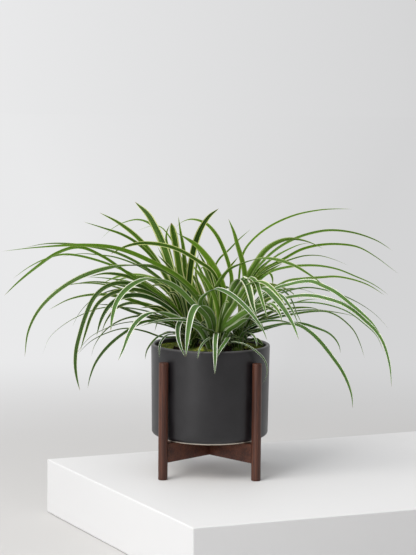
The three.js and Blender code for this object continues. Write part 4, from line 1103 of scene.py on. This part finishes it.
# ---------------------------------------------------------------- leaves
def traced_leaves(plan):
    """The leaves that are listed point by point."""
    leaves = []
    for width, taper, base_face, face, *listed in plan["leaves"]:
        points, heading = control_points(plan["crown"], listed)
        leaves.append({"points": points, "heading": heading, "width": width, "taper": taper,
                       "base_face": base_face, "face": face})
    return leaves


def leaf_tones(x, y, z, width, paleness, shade, dull):
    """The tones of a leaf, from where its tip is, its width and the tones of its rosette."""
    hangs = smooth(*HANGING, z)
    marked = hangs * smooth(*IN_FRONT, y) * smooth(*NEAR_MIDDLE, abs(x))
    silvery = math.prod(smooth(*limits, value) for limits, value in zip(SILVERY, (x, y, z)))
    faded = dull * smooth(*FAR_OUT, abs(x)) * (1 - VIVID_OF_SILVERY * silvery)
    # Each rosette's shade lowers the tint, most on the hanging leaves: painted shade, which is painted light
    # where the shade is below 0.
    tint = random.uniform() - shade * between((PAINTED_SHADE_START, 1), hangs) + TINT_OF_SILVERY * silvery
    white = WHITE_START + paleness * hangs + WHITE_OF_MARKED * marked + WHITE_OF_SILVERY * silvery
    white = float(np.clip(white + random.normal(0, WHITE_SPREAD), 0, 1))
    margin = random.uniform(*MARGIN_START) + MARGIN_OF_FADED * faded
    margin -= (MARGIN_OF_WIDE - MARGIN_OF_MARKED * marked) * (1 - faded) * smooth(*WIDE_LEAF, width)
    return {"vivid": 1 - faded, "tint": tint, "white": white, "margin": margin,
            "phase": random.uniform(*ANY_TURN)}


def sheath_tones(paleness):
    # The sheaths' low tint is painted shade at the crown's foot.
    return {"vivid": 1, "tint": random.uniform(*SHEATH_PAINTED_SHADE_TINT) + paleness,
            "white": between(SHEATH_WHITE, paleness), "margin": random.uniform(*SHEATH_MARGIN),
            "phase": random.uniform(*ANY_TURN)}


def make_rosettes(material):
    for name, plan in ROSETTES.items():
        tones = plan["tones"]
        blades = []
        for leaf in traced_leaves(plan) + inner_leaves(plan):
            x, y, z = (float(value) for value in leaf["points"][-1])
            leaf["width"] *= 1 - FAR_SLIMMING * smooth(*FAR_OUT, abs(x))
            blades.append(blade(leaf, leaf_tones(x, y, z, leaf["width"], **tones)))
        sheaths = [blade(leaf, sheath_tones(tones["paleness"])) for leaf in sheath_leaves(plan)]
        pieces = [leaf_piece(name.replace("rosette", "sheaths"), sheaths, material)]
        for start in range(0, len(blades), LEAVES_PER_PIECE):
            label = name.replace("rosette", "leaves") + f"_{start // LEAVES_PER_PIECE + 1:02d}"
            pieces.append(leaf_piece(label, blades[start:start + LEAVES_PER_PIECE], material))
        core = turned(name.replace("rosette", "crown"), CROWN_PROFILE, CROWN_SEGMENTS, material)
        x, y = plan["crown"]
        core.data.transform(Matrix.Translation((x * MM, y * MM, 0)))
        for piece in pieces + [core]:
            finish_piece(piece, "leaf", name)


def finish_piece(piece, slot, *nodes):
    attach(piece, "root")
    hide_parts(*nodes)


# ---------------------------------------------------------------- stage, light and camera
def camera_turn():
    pitch = Matrix.Rotation(math.radians(90 - CAMERA_PITCH_DOWN), 4, "X")
    return pitch @ Matrix.Rotation(math.radians(CAMERA_ROLL), 4, "Z")


def on_ground(column, row):
    """The place at height 0 that the camera sees at a pixel of the frame."""
    focal = CAMERA_LENS / CAMERA_SENSOR * FRAME_HEIGHT
    ray = camera_turn() @ Vector((column - FRAME_WIDTH / 2, FRAME_HEIGHT / 2 - row, -focal))
    eye = Vector(EYE * MM)
    place = eye - ray * (eye.z / ray.z)
    return place.x, place.y, 0.0


def block_edge(corner, way_out, times):
    """Both ends of a long edge of the block's top."""
    start, shown = on_ground(*corner), on_ground(*way_out)
    return start, [a + (b - a) * times for a, b in zip(start, shown)]


def make_stage():
    """A low white block, with its back edge and its left end where the photograph shows them, on a floor."""
    back_left, back_right = block_edge(*BLOCK_BACK)
    front_left, front_right = block_edge(*BLOCK_FRONT)
    outline = [back_left, front_left, front_right, back_right]
    block = prism("block", outline, (0, 0, -BLOCK_HEIGHT), BLOCK_EASE, block_look())
    bpy.ops.mesh.primitive_plane_add(size=FLOOR_SIZE, location=(0, 0, -BLOCK_HEIGHT - BLOCK_ABOVE_FLOOR))
    floor = bpy.context.object
    floor.name = "floor"
    floor.data.materials.append(floor_look())


def lamp(name, place, **settings):
    data = bpy.data.lights.new(name, "AREA")
    for key, value in settings.items():
        setattr(data, key, value)
    made = placed(name, data)
    made.location = place
    made.rotation_euler = (LAMP_TARGET - Vector(place)).to_track_quat("-Z", "Y").to_euler()
    return made


def make_light():
    """Soft light all around and three lamps. The camera sees the wall's painted brightness, more at the left
    than at the right, in place of that light.
    """
    world = bpy.data.worlds.new("studio")
    bpy.context.scene.world = world
    world.use_nodes = True
    studio = Nodes(world.node_tree)
    where = studio.node("TexCoord").outputs["Generated"]
    upward = studio.node("VectorMath", {0: where, 1: WORLD_BRIGHT_SIDE}, operation="DOT_PRODUCT")
    light = studio.ramp(upward.outputs["Value"], *WORLD_SPAN, WORLD_DARK, WORLD_LIGHT, "LINEAR")
    seen = studio.node("LightPath").outputs["Is Camera Ray"]
    pick = studio.node("Mix", {0: seen, 2: light, 3: wall_strength(studio, where)})
    background = studio.tree.nodes["Background"]
    studio.put(background, "Color", WALL_COLOUR)
    studio.put(background, "Strength", pick.outputs[0])

    lamp("key", (-1.4, -1.4, 2.6), energy=68, size=2.0, color=(1, 0.985, 0.96))
    lamp("window", (-1.9, -2.9, 0.9), energy=32, shape="RECTANGLE", size=0.9, size_y=1.6)
    fill = lamp("fill", (2.0, -3.0, 0.8), energy=9, size=1.5)
    fill.visible_glossy = False


def make_camera():
    data = bpy.data.cameras.new("camera")
    data.lens = CAMERA_LENS
    data.sensor_width = CAMERA_SENSOR
    data.clip_start, data.clip_end = 0.05, 100
    camera = placed("camera", data)
    camera.matrix_world = Matrix.Translation(Vector(EYE * MM)) @ camera_turn()
    bpy.context.scene.camera = camera


# ---------------------------------------------------------------- assembly
make_camera()
make_light()
bpy.context.scene.view_settings.view_transform = "Standard"

make_stage()
for piece in make_pot(glaze_look(), clay_look()):
    finish_piece(piece, "glaze", "pot")
soil_material = soil_look()
for piece in (make_soil(soil_material), make_crumbs(soil_material)):
    finish_piece(piece, "soil", "soil")
moss_material = moss_look()
for piece in (make_cushion(moss_material), make_fronds(moss_material)):
    finish_piece(piece, "moss", "moss")
make_rosettes(leaf_look())

upright = wood_look("walnut_upright", 2)
for side, quarter in (("back_right", 1), ("back_left", 3), ("front_left", 5), ("front_right", 7)):
    leg = make_leg("turned_leg_" + side, quarter * math.pi / 4, upright)
    finish_piece(leg, "wood", "leg_" + side)
lying = wood_look("walnut_lying", 0)
for name, quarter, on_top in (("bar_lower_notch", 1, False), ("bar_upper_notch", -1, True)):
    bar = make_bar("cross_" + name, quarter * math.pi / 4, on_top, lying)
    finish_piece(bar, "wood", name)
